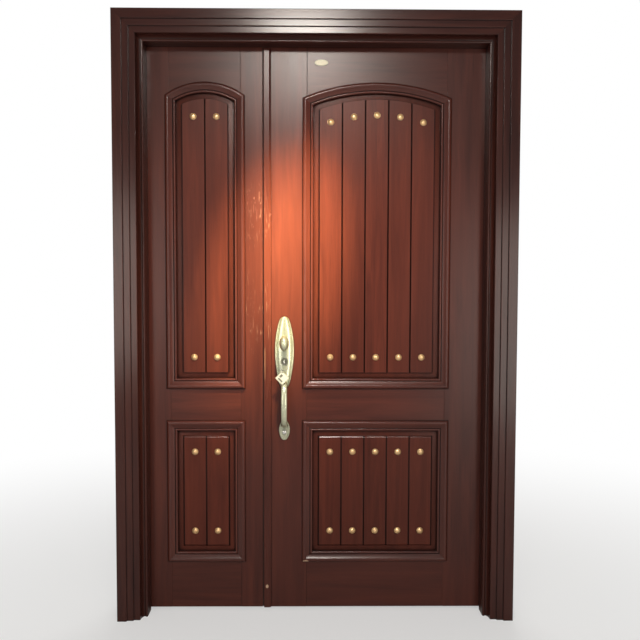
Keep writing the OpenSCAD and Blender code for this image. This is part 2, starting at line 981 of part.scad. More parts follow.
module lock_holes(y0, y1) {
  bar_y(handle_x, knob_z, 11, y0, y1);
  bar_y(handle_x, cylinder_z, housing_r, y0, y1);
}

module wide_hinge_stile() {
  color(wood)
    box(wide_c + wide_a + lap_u, edge_x, leaf_y, tray_y, leaf_z, leaf_top);
}

module wide_lock_stile() {
  color(wood)
    difference() {
      box(wide_x, wide_c - wide_a - lap_u, leaf_y, tray_y, leaf_z, leaf_top);
      lock_holes(leaf_y - 1, tray_y + 1);
    }
}

module wide_top_rail() {
  color(wood)
    top_rail(wide_c, wide_a, wide_r);
}

module wide_lock_rail() {
  w = wide_a + lap_u;
  color(wood)
    box(wide_c - w, wide_c + w, leaf_y, tray_y, low_top + lap_u, up_z - lap_u);
}

module wide_bottom_rail() {
  w = wide_a + lap_u;
  color(wood)
    box(wide_c - w, wide_c + w, leaf_y, tray_y, leaf_z, low_z - lap_u);
}

module wide_upper_moulding() {
  color(wood)
    upper_moulding(wide_c, wide_a, wide_r);
}

module wide_lower_moulding() {
  color(wood)
    lower_moulding(wide_c, wide_a);
}

module wide_upper_panel() {
  color(wood)
    upper_panel(wide_c, wide_a, wide_r, wide_planks);
}

module wide_lower_panel() {
  color(wood)
    lower_panel(wide_c, wide_a, wide_planks);
}

module wide_studs() {
  color(gold)
    studs(wide_c, wide_a, wide_planks, wide_r);
}

module wide_steel_tray() {
  color(steel)
    difference() {
      tray(forend_x, edge_x);
      lock_holes(tray_y - 1, tray_y + 5);
      box(forend_x - 1, forend_x + 3, lock_y - case_t / 2, lock_y + case_t / 2, case_z0 - 20, case_z1 + 20);
    }
}

module wide_infill() {
  s = tray_sheet;
  g = 0.5;
  x1 = case_x1 + 2;
  color([0.72, 0.64, 0.50]) {
    box(x1, edge_x - s, tray_y + s, skin_y, leaf_z + s, leaf_top - s);
    box(forend_x + s, x1 - g, tray_y + s, skin_y, leaf_z + s, case_z0 - 22);
    box(forend_x + s, x1 - g, tray_y + s, skin_y, case_z1 + 22, leaf_top - s);
  }
}

module wide_inner_skin() {
  color(wood)
    difference() {
      inner_skin(wide_x + wide_skin_back, edge_x, wide_c, wide_a, wide_r, wide_planks);
      lock_holes(skin_y - 1, back_y + 1);
    }
}

module meeting_strip() {
  h = strip_h;
  color(wood)
    translate([wide_x, leaf_y, leaf_z])
      linear_extrude(height = opening_h - 6 - leaf_z)
        polygon([[0, 0], [0, 1.5 - h], [1.5, -h], [strip_w - 6, -h], [strip_w - 4, 1.5 - h],
                 [strip_w - 1, 2.5 - h], [strip_w, 4 - h], [strip_w, 0]]);
}

// Oval plate above the wide panel
module oval_badge() {
  color(nickel)
    translate([wide_c - wide_a + 29, leaf_y, opening_h - 53])
      rotate([90, 0, 0]) {
        cylinder(r = 4, h = 2);
        translate([0, 0, 1])
          scale([1, 0.45, 1])
            cylinder(r = 23.5, h = 1.6, $fn = 48);
        scale([1, 0.45, 1])
          cylinder(r = 23.5, h = 1, $fn = 48);
      }
}

module lock_case() {
  p = guide_play;
  y0 = lock_y - case_t / 2;
  y1 = lock_y + case_t / 2;
  color(grey)
    difference() {
      union() {
        box(case_x0, case_x1, y0, y1, case_z0, case_z1);
        box(forend_x, case_x0, y0, y1, case_z0 - 20, case_z1 + 20);
      }
      bar_y(handle_x, knob_z, spindle_r + spindle_fit, y0 - 1, y1 + 1);
      bar_y(handle_x, cylinder_z, housing_r, y0 - 1, y1 + 1);
      box(forend_x - 1, handle_x - housing_r - 4, lock_y - dead_t / 2 - p, lock_y + dead_t / 2 + p,
          dead_z - dead_h / 2 - p, dead_z + dead_h / 2 + p);
      box(forend_x - 1, handle_x - 16, lock_y - latch_t / 2 - p, lock_y + latch_t / 2 + p,
          latch_z - latch_h / 2 - p, latch_z + latch_h / 2 + p);
    }
}

module dead_bolt() {
  color(nickel)
    box(bolt_tip, handle_x - housing_r - 8, lock_y - dead_t / 2, lock_y + dead_t / 2,
        dead_z - dead_h / 2, dead_z + dead_h / 2);
}

module latch_bolt() {
  h = latch_h / 2;
  t = latch_t / 2;
  color(nickel)
    translate([0, 0, latch_z - h])
      linear_extrude(height = latch_h)
        polygon([[bolt_tip, lock_y + t], [bolt_tip + 9, lock_y - t], [handle_x - 20, lock_y - t],
                 [handle_x - 20, lock_y + t]]);
}

// Key cylinder from the outer plate to the inner one
module lock_cylinder() {
  y0 = leaf_y - plate_dome - 3;
  y1 = back_y + 7;
  color(nickel)
    difference() {
      bar_y(handle_x, cylinder_z, housing_r, y0, y1);
      bar_y(handle_x, cylinder_z, plug_r + plug_fit, y0 - 1, y1 + 1);
    }
}

module cylinder_plug() {
  y0 = leaf_y - plate_dome - 3.5;
  color(nickel)
    difference() {
      bar_y(handle_x, cylinder_z, plug_r, y0, back_y + 8);
      box(handle_x - 1.1, handle_x + 1.1, y0 - 1, y0 + 26, cylinder_z - 4, cylinder_z + 4);
    }
}

module thumb_turn() {
  color(nickel) {
    bar_y(handle_x, cylinder_z, plug_r + 5, back_y + 8, back_y + 12);
    box(handle_x - 4, handle_x + 4, back_y + 11, back_y + 30, cylinder_z - 14, cylinder_z + 14);
  }
}

// Key standing in the plug, with a hole through its bow
module door_key() {
  y0 = leaf_y - plate_dome - 3.5;
  color(nickel)
    difference() {
      union() {
        box(handle_x - 1, handle_x + 1, y0 - 8, y0 + 25, cylinder_z - 3.9, cylinder_z + 3.9);
        translate([handle_x - 1, y0 - 17, cylinder_z])
          rotate([0, 90, 0])
            cylinder(r = bow_r, h = 2);
      }
      translate([handle_x - 3, ring_y, cylinder_z - bow_hole_drop])
        rotate([0, 90, 0])
          cylinder(r = bow_hole_r, h = 6);
    }
}

// Split ring hung through the bow, and the small link that carries the tag
module key_ring() {
  color(nickel) {
    translate([handle_x, ring_y, ring_z])
      rotate([90, 0, 0])
        rotate_extrude($fn = 48)
          translate([ring_r, 0])
            circle(r = ring_wire, $fn = 24);
    translate([link_x, ring_y, link_z])
      rotate([0, 90, 0])
        rotate_extrude($fn = 48)
          translate([link_r, 0])
            circle(r = link_wire, $fn = 24);
  }
}

// Square tag hung by one corner from the link
module key_tag() {
  drop = tag_s * 0.7071 - 6.6;
  color([0.92, 0.92, 0.90])
    translate([link_x, ring_y, tag_hole_z])
      rotate([90, 0, 0])
        linear_extrude(height = tag_t, center = true)
          difference() {
            translate([0, -drop])
              rotate(45)
                square(tag_s, center = true);
            circle(r = tag_hole_r, $fn = 24);
          }
}

// Long oval plate with blunt ends, a stepped rim and a domed middle
function almond(s, w, b) = w / 2 * ((1 - b) * pow(1 - s * s, 1.1) + b * sqrt(1 - pow(s, 16)));
function almond_ring(w, z, y, dome) = [
  [w, y, z], [w, y - 0.26 * dome, z], [w * 0.95, y - 0.46 * dome, z], [w * 0.84, y - 0.52 * dome, z],
  [w * 0.78, y - 0.72 * dome, z], [w * 0.5, y - 0.92 * dome, z], [0, y - dome, z],
  [-w * 0.5, y - 0.92 * dome, z], [-w * 0.78, y - 0.72 * dome, z], [-w * 0.84, y - 0.52 * dome, z],
  [-w * 0.95, y - 0.46 * dome, z], [-w, y - 0.26 * dome, z], [-w, y, z]];

module almond_plate(zc, up, down, w, dome, blunt) {
  n = 24;
  rings = [for (i = [0:n])
    let (s = -0.985 * cos(180 * i / n), z = zc + s * (s > 0 ? up : down), h = almond(s, w, blunt))
      almond_ring(h, z, leaf_y, dome * min(1, 0.55 + h / 30))];
  loft(rings);
}

module handle_plate() {
  up = plate_l * 0.468;
  color(nickel)
    difference() {
      translate([handle_x, 0, 0]) {
        almond_plate(plate_z, up, plate_l - up, plate_w, plate_dome, 0.28);
        bar_y(0, grip_z0, grip_boss, grip_y, leaf_y - 1);
      }
      lock_holes(leaf_y - 40, leaf_y + 10);
    }
}

module pull_rosette() {
  color(nickel)
    translate([handle_x, 0, 0]) {
      almond_plate(rosette_z, rosette_l / 2, rosette_l / 2, rosette_w, 7, 0.4);
      bar_y(0, rosette_z - 8, 6, leaf_y - 9.5, leaf_y - 1);
      bar_y(0, grip_z1, grip_boss * 0.85, grip_y, leaf_y - 1);
    }
}

// Egg knob on its neck
function egg_ring(k, y) = [for (j = [0:23]) [egg_w / 2 * k * sin(15 * j), y, egg_h / 2 * k * cos(15 * j)]];

module outer_knob() {
  y0 = leaf_y - plate_dome - 1;
  y1 = leaf_y - egg_reach;
  l = egg_reach - plate_dome - 1;
  ks = [[0.12, 0.40], [0.22, 0.62], [0.34, 0.84], [0.46, 0.96], [0.58, 1], [0.70, 0.96],
        [0.82, 0.83], [0.91, 0.63], [0.97, 0.38], [1, 0.12]];
  color(nickel)
    translate([handle_x, 0, knob_z]) {
      bar_y(0, 0, 10, y0 - 9, y0);
      loft([for (k = ks) egg_ring(k[1], y0 - l * k[0])]);
    }
}

module knob_spindle() {
  color(steel)
    bar_y(handle_x, knob_z, spindle_r, leaf_y - plate_dome - 1, back_y + 6);
}

module inner_knob() {
  color(nickel)
    translate([handle_x, back_y + 6, knob_z])
      rotate([-90, 0, 0])
        rotate_extrude($fn = 64)
          union() {
            square([10, inner_reach - 30]);
            translate([0, inner_reach - 33])
              square([21, 9]);
            intersection() {
              translate([0, inner_reach - 33])
                circle(r = 27, $fn = 96);
              translate([0, inner_reach - 24])
                square([21, 18]);
            }
          }
}

// Bowed grip between the two bosses
function grip_path(u) = [grip_y - grip_bow * pow(sin(180 * u), 0.75),
                         (grip_z0 + grip_z1) / 2 + (grip_z0 - grip_z1) / 2 * cos(180 * u)];
function grip_turn(u) =
  let (a = grip_path(max(0, u - 0.02)), b = grip_path(min(1, u + 0.02)))
    u < 0.001 ? 180 : u > 0.999 ? 360 : atan2(b[1] - a[1], b[0] - a[0]) + 360;
function grip_half(u) = grip_w / 2 * (0.62 + 0.38 * sin(25 + 135 * pow(u, 0.8)));

module pull_grip() {
  n = 20;
  rings = [for (i = [0:n])
    let (u = i / n, c = grip_path(u), turn = grip_turn(u), w = grip_half(u))
      [for (j = [0:11])
        let (p = w * cos(30 * j), q = 5.5 * sin(30 * j))
          [p, c[0] - q * sin(turn), c[1] + q * cos(turn)]]];
  color(nickel)
    translate([handle_x, 0, 0])
      loft(rings);
}

module inner_plate() {
  color(nickel)
    difference() {
      translate([handle_x, back_y, 0])
        union() {
          box(-22, 22, 0, 4, cylinder_z - inner_plate_over, knob_z + inner_plate_over);
          bar_y(0, cylinder_z - inner_plate_over, 22, 0, 4);
          bar_y(0, knob_z + inner_plate_over, 22, 0, 4);
        }
      lock_holes(back_y - 1, back_y + 5);
    }
}

left_jamb();
right_jamb();
head_jamb();
left_casing();
right_casing();
head_casing();
inner_casing();
frame_seal();
hinge_frame_plates();
hinge_pins();
narrow_hinge_stile();
narrow_meeting_stile();
narrow_top_rail();
narrow_lock_rail();
narrow_bottom_rail();
narrow_upper_moulding();
narrow_lower_moulding();
narrow_upper_panel();
narrow_lower_panel();
narrow_studs();
narrow_steel_tray();
narrow_infill();
narrow_inner_skin();
narrow_hinge_plates();
strike_box();
bolt_guides();
top_bolt();
bottom_bolt();
wide_hinge_stile();
wide_lock_stile();
wide_top_rail();
wide_lock_rail();
wide_bottom_rail();
wide_upper_moulding();
wide_lower_moulding();
wide_upper_panel();
wide_lower_panel();
wide_studs();
wide_steel_tray();
wide_infill();
wide_inner_skin();
wide_hinge_plates();
meeting_strip();
oval_badge();
lock_case();
lock_cylinder();
handle_plate();
pull_grip();
pull_rosette();
inner_plate();
outer_knob();
knob_spindle();
inner_knob();
dead_bolt();
latch_bolt();
cylinder_plug();
thumb_turn();
door_key();
key_ring();
key_tag();
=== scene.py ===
"""Looks of the security door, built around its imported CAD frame. Metres, +Z up, the outer face looks along -Y."""
import json
import math

import bmesh
import bpy
from mathutils import Matrix, Vector

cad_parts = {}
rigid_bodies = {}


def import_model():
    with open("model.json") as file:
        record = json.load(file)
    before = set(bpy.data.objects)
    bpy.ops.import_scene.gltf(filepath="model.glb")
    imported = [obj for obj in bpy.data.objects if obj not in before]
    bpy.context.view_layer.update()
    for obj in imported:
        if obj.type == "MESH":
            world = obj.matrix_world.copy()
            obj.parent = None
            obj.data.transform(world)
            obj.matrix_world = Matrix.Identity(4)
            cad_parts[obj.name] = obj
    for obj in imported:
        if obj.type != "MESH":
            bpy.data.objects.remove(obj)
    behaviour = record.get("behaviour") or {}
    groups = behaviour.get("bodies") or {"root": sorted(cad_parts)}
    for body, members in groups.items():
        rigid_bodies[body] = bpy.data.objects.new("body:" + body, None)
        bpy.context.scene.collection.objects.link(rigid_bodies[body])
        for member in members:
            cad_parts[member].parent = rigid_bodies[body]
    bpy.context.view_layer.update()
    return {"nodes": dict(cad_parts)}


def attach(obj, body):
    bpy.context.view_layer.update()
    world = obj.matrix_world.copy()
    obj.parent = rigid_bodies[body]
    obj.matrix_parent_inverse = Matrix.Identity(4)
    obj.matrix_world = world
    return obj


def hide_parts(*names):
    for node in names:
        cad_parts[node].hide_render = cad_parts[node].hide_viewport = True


for old in list(bpy.data.objects):
    bpy.data.objects.remove(old, do_unlink=True)
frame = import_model()
nodes = frame["nodes"]

MM = 0.001

# Places and sizes that the CAD also has
LEAF_Y = -16 * MM                # outer face of the leaves
PLANK_Y = -17 * MM               # outer face of the planks
MARK_Y = -12.5 * MM              # wear and joint lines show in front of this plane only
GROOVE_Y = -11.3 * MM            # and the painted shade of the plank grooves in front of this one
PLANK_W = 82.2 * MM
NARROW_X = -395.75 * MM          # middle of the narrow leaf's two planks
WIDE_X = 215.5 * MM              # middle of the wide leaf's five planks
LOWER_FIELD_Z = 638 * MM         # top of the lower planks
MOULDING_W = 38 * MM
CROWN_R = {"narrow_upper_moulding": 240 * MM, "wide_upper_moulding": 680 * MM}
HANDLE_X = -113.5 * MM
KNOB_Z = 980 * MM
CYLINDER_Z = 912 * MM
PLATE_Z = 953 * MM
PLATE_DOME = 9.6 * MM
ROSETTE_Z = 663 * MM
GRIP_TOP_Z = 836.7 * MM
GRIP_LOW_Z = 680 * MM
TAG_X, TAG_Z = -120.42 * MM, 855.92 * MM
BADGE_X, BADGE_Z = 17 * MM, 1972 * MM


# Shader building blocks

class Graph:
    """Short calls that add nodes to a shader tree. A value is a number, a colour or another node's socket."""

    def __init__(self, tree):
        self.tree = tree

    def node(self, kind, **props):
        made = self.tree.nodes.new(kind)
        for key, value in props.items():
            setattr(made, key, value)
        return made

    def put(self, socket, value):
        if isinstance(value, bpy.types.NodeSocket):
            self.tree.links.new(value, socket)
        else:
            socket.default_value = value

    def math(self, op, a, b=0.0, clamp=False):
        made = self.node("ShaderNodeMath", operation=op, use_clamp=clamp)
        self.put(made.inputs[0], a)
        self.put(made.inputs[1], b)
        return made.outputs[0]

    def split(self, vector):
        made = self.node("ShaderNodeSeparateXYZ")
        self.put(made.inputs[0], vector)
        return made.outputs

    def join(self, x, y, z):
        made = self.node("ShaderNodeCombineXYZ")
        for socket, value in zip(made.inputs, (x, y, z)):
            self.put(socket, value)
        return made.outputs[0]

    def place(self, vector, scale=(1, 1, 1), move=(0, 0, 0), turn=(0, 0, 0)):
        made = self.node("ShaderNodeMapping")
        self.put(made.inputs["Vector"], vector)
        made.inputs["Scale"].default_value = scale
        made.inputs["Location"].default_value = move
        made.inputs["Rotation"].default_value = turn
        return made.outputs[0]

    def noise(self, vector, scale=1.0, detail=4.0, rough=0.55, distort=0.0):
        made = self.node("ShaderNodeTexNoise")
        self.put(made.inputs["Vector"], vector)
        made.inputs["Scale"].default_value = scale
        made.inputs["Detail"].default_value = detail
        made.inputs["Roughness"].default_value = rough
        made.inputs["Distortion"].default_value = distort
        return made.outputs[0]

    def span(self, value, a, b, low=0.0, high=1.0, curve="SMOOTHSTEP"):
        """Goes from low at a to high at b, and stays there beyond."""
        made = self.node("ShaderNodeMapRange", interpolation_type=curve)
        for key, v in (("Value", value), ("From Min", a), ("From Max", b), ("To Min", low), ("To Max", high)):
            self.put(made.inputs[key], v)
        return made.outputs[0]

    def band(self, value, rise, fall):
        """One between a rise and a fall, each a pair of values, and nothing outside them."""
        return self.math("MULTIPLY", self.span(value, *rise), self.span(value, *fall))

    def ramp(self, value, stops):
        made = self.node("ShaderNodeValToRGB")
        self.put(made.inputs[0], value)
        ring = made.color_ramp.elements
        while len(ring) < len(stops):
            ring.new(0.5)
        for element, (at, colour) in zip(ring, stops):
            element.position = at
            element.color = (*colour, 1)
        return made.outputs[0]

    def mix(self, fac, a, b):
        made = self.node("ShaderNodeMix", data_type="RGBA")
        for key, v in ((0, fac), (6, a), (7, b)):
            self.put(made.inputs[key], (*v, 1) if isinstance(v, tuple) and len(v) == 3 else v)
        return made.outputs[2]


class Shader(Graph):
    """A node material with one Principled shader."""

    def __init__(self, name, **sockets):
        self.mat = bpy.data.materials.new(name)
        self.mat.use_nodes = True
        super().__init__(self.mat.node_tree)
        self.bsdf = self.tree.nodes["Principled BSDF"]
        for key, value in sockets.items():
            self.bsdf.inputs[key.replace("_", " ")].default_value = value
        self.coord = self.node("ShaderNodeTexCoord").outputs["Object"]

    def crevice(self, reach):
        made = self.node("ShaderNodeAmbientOcclusion", samples=6)
        made.inputs["Distance"].default_value = reach
        return made.outputs["AO"]

    def bump(self, height, strength, distance):
        made = self.node("ShaderNodeBump")
        made.inputs["Strength"].default_value = strength
        made.inputs["Distance"].default_value = distance
        self.put(made.inputs["Height"], height)
        self.put(self.bsdf.inputs["Normal"], made.outputs[0])

    def colour(self, value):
        self.put(self.bsdf.inputs["Base Color"], value)

    def rough(self, value):
        self.put(self.bsdf.inputs["Roughness"], value)


def times(colour, factor):
    return tuple(c * factor for c in colour)


# Lacquered wood

LEAF_TONES = ((0.037, 0.0088, 0.0062), (0.062, 0.0150, 0.0096), (0.086, 0.0208, 0.0124))
CASE_TONES = ((0.024, 0.0078, 0.0062), (0.046, 0.0135, 0.0098), (0.068, 0.0190, 0.0128))
PLANK_TONES = ((0.046, 0.0104, 0.0066), (0.076, 0.0172, 0.0100), (0.108, 0.0248, 0.0134))
CHIP_COLOUR = (0.46, 0.31, 0.20)
RUB_COLOUR = (0.43, 0.27, 0.22)
FIGURE = {"X": (2.2, 34, 34), "Z": (34, 34, 2.2)}          # texture scale, stretched along the grain
FIBRE = {"X": (9, 420, 420), "Z": (420, 420, 9)}
PLANK_SHINE, WOOD_SHINE, MOULDING_SHINE, EDGE_SHINE = 0.18, 0.32, 0.45, 0.8
GROOVE_SPAN = (3.4 * MM, 2.0 * MM)                         # the painted shade of the groove darkens between these, from its middle


def mitred(s, x, y, z, mitre):
    """Coordinates that turn the grain at the corners of an opening."""
    centre, half, low, high = mitre
    beside = s.math("SUBTRACT", s.math("ABSOLUTE", s.math("SUBTRACT", x, centre)), half)
    beyond = s.math("MAXIMUM", s.math("SUBTRACT", low, z), s.math("SUBTRACT", z, high))
    turned = s.math("MULTIPLY", s.math("GREATER_THAN", beyond, beside), s.math("SUBTRACT", z, x))
    return s.join(s.math("ADD", x, turned), y, s.math("SUBTRACT", z, turned))


def patch(s, x, z, spot):
    """Mask and bare colour of one worn patch."""
    px, pz, rx, rz, amount, kind = spot
    dx = s.math("DIVIDE", s.math("SUBTRACT", x, px), rx)
    dz = s.math("DIVIDE", s.math("SUBTRACT", z, pz), rz)
    far = s.math("ADD", s.math("MULTIPLY", dx, dx), s.math("MULTIPLY", dz, dz))
    near = s.span(far, 1.0, 0.1)
    if kind == "chip":
        edge = s.noise(s.coord, scale=190, detail=3, rough=0.7)
        mask = s.span(s.math("ADD", near, s.math("SUBTRACT", edge, 0.5)), 0.45, 0.62)
        return mask, amount, CHIP_COLOUR
    lines = s.noise(s.place(s.coord, (640, 640, 16), turn=(0, 0.05, 0)), detail=2, rough=0.5)
    blots = s.noise(s.place(s.coord, (70, 70, 34)), detail=5, rough=0.72)
    cloud = s.span(s.noise(s.coord, scale=13, detail=3, rough=0.6), 0.42, 0.66)
    marks = s.math("MAXIMUM", s.span(lines, 0.63, 0.72), s.span(blots, 0.58, 0.74))
    return s.math("MULTIPLY", marks, s.math("MULTIPLY", near, cloud)), amount, RUB_COLOUR


def wood(name, tones, along, seed, gloss, planks=None, wear=(), joint=None, crevice_shade=0.0, mitre=None,
         shine=WOOD_SHINE):
    """Lacquered mahogany with its grain along one axis.

    tones are the dark, middle and light of the figure. planks is (x of a joint, width) of a row of boards. wear
    lists (x, z, half width, half height, amount, kind) patches on the outer face. joint is (x, half width, depth)
    of an upright joint line. crevice_shade is how far the painted shade of the crevices reaches. mitre is (centre,
    half width, low, high) of the opening that the grain runs round."""
    dark, mid, light = tones
    s = Shader(name, Specular_IOR_Level=PLANK_SHINE if planks else shine)
    x, y, z = s.split(s.coord)
    vector = mitred(s, x, y, z, mitre) if mitre else s.coord
    vector = s.place(vector, move=(seed * 0.37 % 1.9, seed * 0.71 % 2.3, seed * 1.13 % 3.1))
    tone = 0.5
    if planks:
        start, width = planks
        along_row = s.math("DIVIDE", s.math("SUBTRACT", x, start), width)
        index = s.math("FLOOR", along_row)
        hop = s.math("MULTIPLY", index, 0.517)
        made = s.node("ShaderNodeVectorMath", operation="ADD")
        s.put(made.inputs[0], vector)
        s.put(made.inputs[1], s.join(hop, hop, s.math("MULTIPLY", index, 3.71)))
        vector = made.outputs[0]
        white = s.node("ShaderNodeTexWhiteNoise", noise_dimensions="1D")
        s.put(white.inputs["W"], s.math("ADD", index, seed * 0.31))
        tone = white.outputs[0]

    figure = s.noise(s.place(vector, FIGURE[along]), detail=5, rough=0.6, distort=0.6)
    fibre = s.noise(s.place(vector, FIBRE[along]), detail=3, rough=0.6)
    drift = s.noise(vector, scale=2.3, detail=2, rough=0.5)
    pores = s.span(fibre, 0.56, 0.70)
    colour = s.ramp(figure, ((0.28, dark), (0.52, mid), (0.74, light)))
    colour = s.mix(s.math("MULTIPLY", pores, 0.38), colour, times(dark, 0.45))
    colour = s.mix(s.span(drift, 0.32, 0.70, 0.0, 0.30), colour, times(mid, 1.22))
    colour = s.mix(s.math("MULTIPLY", tone, 0.30), colour, times(mid, 0.72))
    haze = s.noise(s.place(vector, times(FIGURE[along], 0.5)), detail=3, rough=0.55)
    rough = s.span(haze, 0.3, 0.72, gloss - 0.01, gloss + 0.015)

    outer = s.math("LESS_THAN", y, MARK_Y)
    for spot in wear:
        mask, amount, bare = patch(s, x, z, spot)
        mask = s.math("MULTIPLY", s.math("MULTIPLY", mask, outer), amount, clamp=True)
        colour = s.mix(mask, colour, bare)
        rough = s.math("ADD", rough, s.math("MULTIPLY", mask, 0.3))
    if joint:
        at, half, depth = joint
        line = s.span(s.math("ABSOLUTE", s.math("SUBTRACT", x, at)), half * 1.5, half)
        line = s.math("MULTIPLY", line, s.math("MULTIPLY", outer, depth))
        colour = s.mix(s.math("MULTIPLY", line, 0.85), colour, times(dark, 0.12))
        rough = s.math("MAXIMUM", rough, s.math("MULTIPLY", line, 0.85))
    # Painted shade: the middle of each plank groove is darkened.
    if planks:
        off = s.math("ABSOLUTE", s.math("SUBTRACT", s.math("SUBTRACT", along_row, index), 0.5))
        groove_shade = s.span(off, *(0.5 - reach / width for reach in GROOVE_SPAN))
        groove_shade = s.math("MULTIPLY", groove_shade, s.math("LESS_THAN", y, GROOVE_Y))
        colour = s.mix(s.math("MULTIPLY", groove_shade, 0.9), colour, times(dark, 0.12))
        rough = s.math("MAXIMUM", rough, s.math("MULTIPLY", groove_shade, 0.7))
    # Painted shade: the colour darkens towards near black in crevices that ambient occlusion finds.
    if crevice_shade:
        open_air = s.span(s.crevice(crevice_shade), 0.36, 0.93)
        colour = s.mix(open_air, times(dark, 0.14), colour)
        rough = s.math("MAXIMUM", rough, s.span(open_air, 0.75, 0.05))
    s.colour(colour)
    s.rough(rough)
    s.bump(s.math("SUBTRACT", 1.0, pores), strength=0.06, distance=0.3 * MM)
    return s.mat


def opening(node):
    """Inner opening of a moulding: centre, half width, sill and spring line."""
    corners = [Vector(c) for c in nodes[node].bound_box]
    low, high = corners[0], corners[6]
    half = (high.x - low.x) / 2
    crown = CROWN_R.get(node)
    rise = crown - math.sqrt(crown ** 2 - half ** 2) if crown else 0.0
    return (low.x + high.x) / 2, half - MOULDING_W, low.z + MOULDING_W, high.z - rise - MOULDING_W


WOODEN = ["left_casing", "right_casing", "head_casing", "inner_casing", "left_jamb", "right_jamb", "head_jamb"]
for leaf, edge in (("narrow", "meeting"), ("wide", "lock")):
    WOODEN += [leaf + "_" + rest for rest in (
        "hinge_stile", edge + "_stile", "top_rail", "lock_rail", "bottom_rail", "upper_moulding", "lower_moulding",
        "upper_panel", "lower_panel", "inner_skin")]
WOODEN.append("meeting_strip")

# By the last word of a node's name, or by the whole name
TONES = {"casing": CASE_TONES, "jamb": CASE_TONES, "panel": PLANK_TONES}
GLOSS = {"casing": 0.21, "inner_casing": 0.38, "jamb": 0.36, "stile": 0.30, "rail": 0.30, "moulding": 0.26,
         "panel": 0.34, "skin": 0.36, "strip": 0.27}
# Reach of the painted shade in crevices, by the last word of a node's name
CREVICE_SHADE = {"panel": 30 * MM, "moulding": 14 * MM}
THIN_CREVICE_SHADE = 5 * MM
PLANKS = {"narrow": (NARROW_X, PLANK_W), "wide": (WIDE_X - PLANK_W / 2, PLANK_W)}
JOINTS = {"narrow": (-270.1 * MM, 0.7 * MM), "wide": (-33.5 * MM, 1.1 * MM)}
JOINT_DEPTH = {"top": 1.0, "lock": 0.30, "bottom": 0.45}
WEAR = {
    "narrow_meeting_stile": ((-0.226, 1.45, 0.060, 0.16, 0.85, "rub"), (-0.222, 1.10, 0.045, 0.20, 0.50, "rub")),
    "wide_lower_moulding": ((-0.036, 0.181, 0.015, 0.007, 0.95, "chip"),),
    "meeting_strip": ((-0.176, 1.24, 0.030, 0.30, 0.85, "rub"), (-0.1832, 0.905, 0.0013, 0.080, 0.32, "chip"),
                      (-0.176, 0.088, 0.007, 0.009, 0.95, "chip")),
}

materials = {}
for seed, node in enumerate(WOODEN, 1):
    words = node.split("_")
    kind = words[-1]
    materials[node] = wood(
        "wood_" + node, TONES.get(kind, LEAF_TONES), "X" if kind == "rail" or words[0] == "head" else "Z", seed,
        GLOSS.get(node, GLOSS[kind]),
        planks=PLANKS[words[0]] if kind == "panel" else None,
        wear=WEAR.get(node, ()),
        joint=(*JOINTS[words[0]], JOINT_DEPTH[words[1]]) if kind == "rail" else None,
        crevice_shade=CREVICE_SHADE.get(kind, THIN_CREVICE_SHADE),
        mitre=opening(node) if kind == "moulding" else None,
        shine=MOULDING_SHINE if kind == "moulding" else WOOD_SHINE)


# Metals, rubber, board, card and enamel

def metal(name, colour, aged, rough, brushed=None, spots=0.3, crevice_shade=6 * MM, metallic=1.0):
    """Plated metal with a soft mottle, tarnish and painted shade in its crevices and, where asked, a brushed
    direction.
    """
    s = Shader(name, Metallic=metallic, Specular_IOR_Level=0.5)
    mottle = s.noise(s.coord, scale=46, detail=5, rough=0.62)
    if brushed:
        grit = s.noise(s.place(s.coord, brushed), detail=3, rough=0.55)
    else:
        grit = s.noise(s.coord, scale=900, detail=2, rough=0.5)
    # Tarnish and painted shade: the colour darkens towards a dark aged tone in crevices that ambient occlusion
    # finds.
    open_air = s.span(s.crevice(crevice_shade), 0.35, 0.95)
    tint = s.mix(s.span(mottle, 0.42, 0.75, 0.0, spots), colour, aged)
    s.colour(s.mix(open_air, times(aged, 0.42), tint))
    base = s.span(mottle, 0.3, 0.7, rough - 0.02, rough + 0.03)
    s.rough(s.math("ADD", base, s.span(grit, 0.4, 0.7, 0.0, 0.06)))
    s.bump(grit, strength=0.05, distance=0.2 * MM)
    return s.mat


def plain(name, colour, other, rough, scale, grain=0.25, height=0.1):
    """A matt surface with a mottled colour and a fine tooth."""
    s = Shader(name, Specular_IOR_Level=0.35)
    cloud = s.noise(s.coord, scale, detail=5, rough=0.62)
    tooth = s.noise(s.coord, scale * 11, detail=3, rough=0.6)
    s.colour(s.mix(s.span(cloud, 0.35, 0.7, 0.0, grain * 2), colour, other))
    s.rough(s.span(tooth, 0.3, 0.7, rough - 0.07, rough + 0.07))
    s.bump(tooth, strength=height, distance=0.4 * MM)
    return s.mat


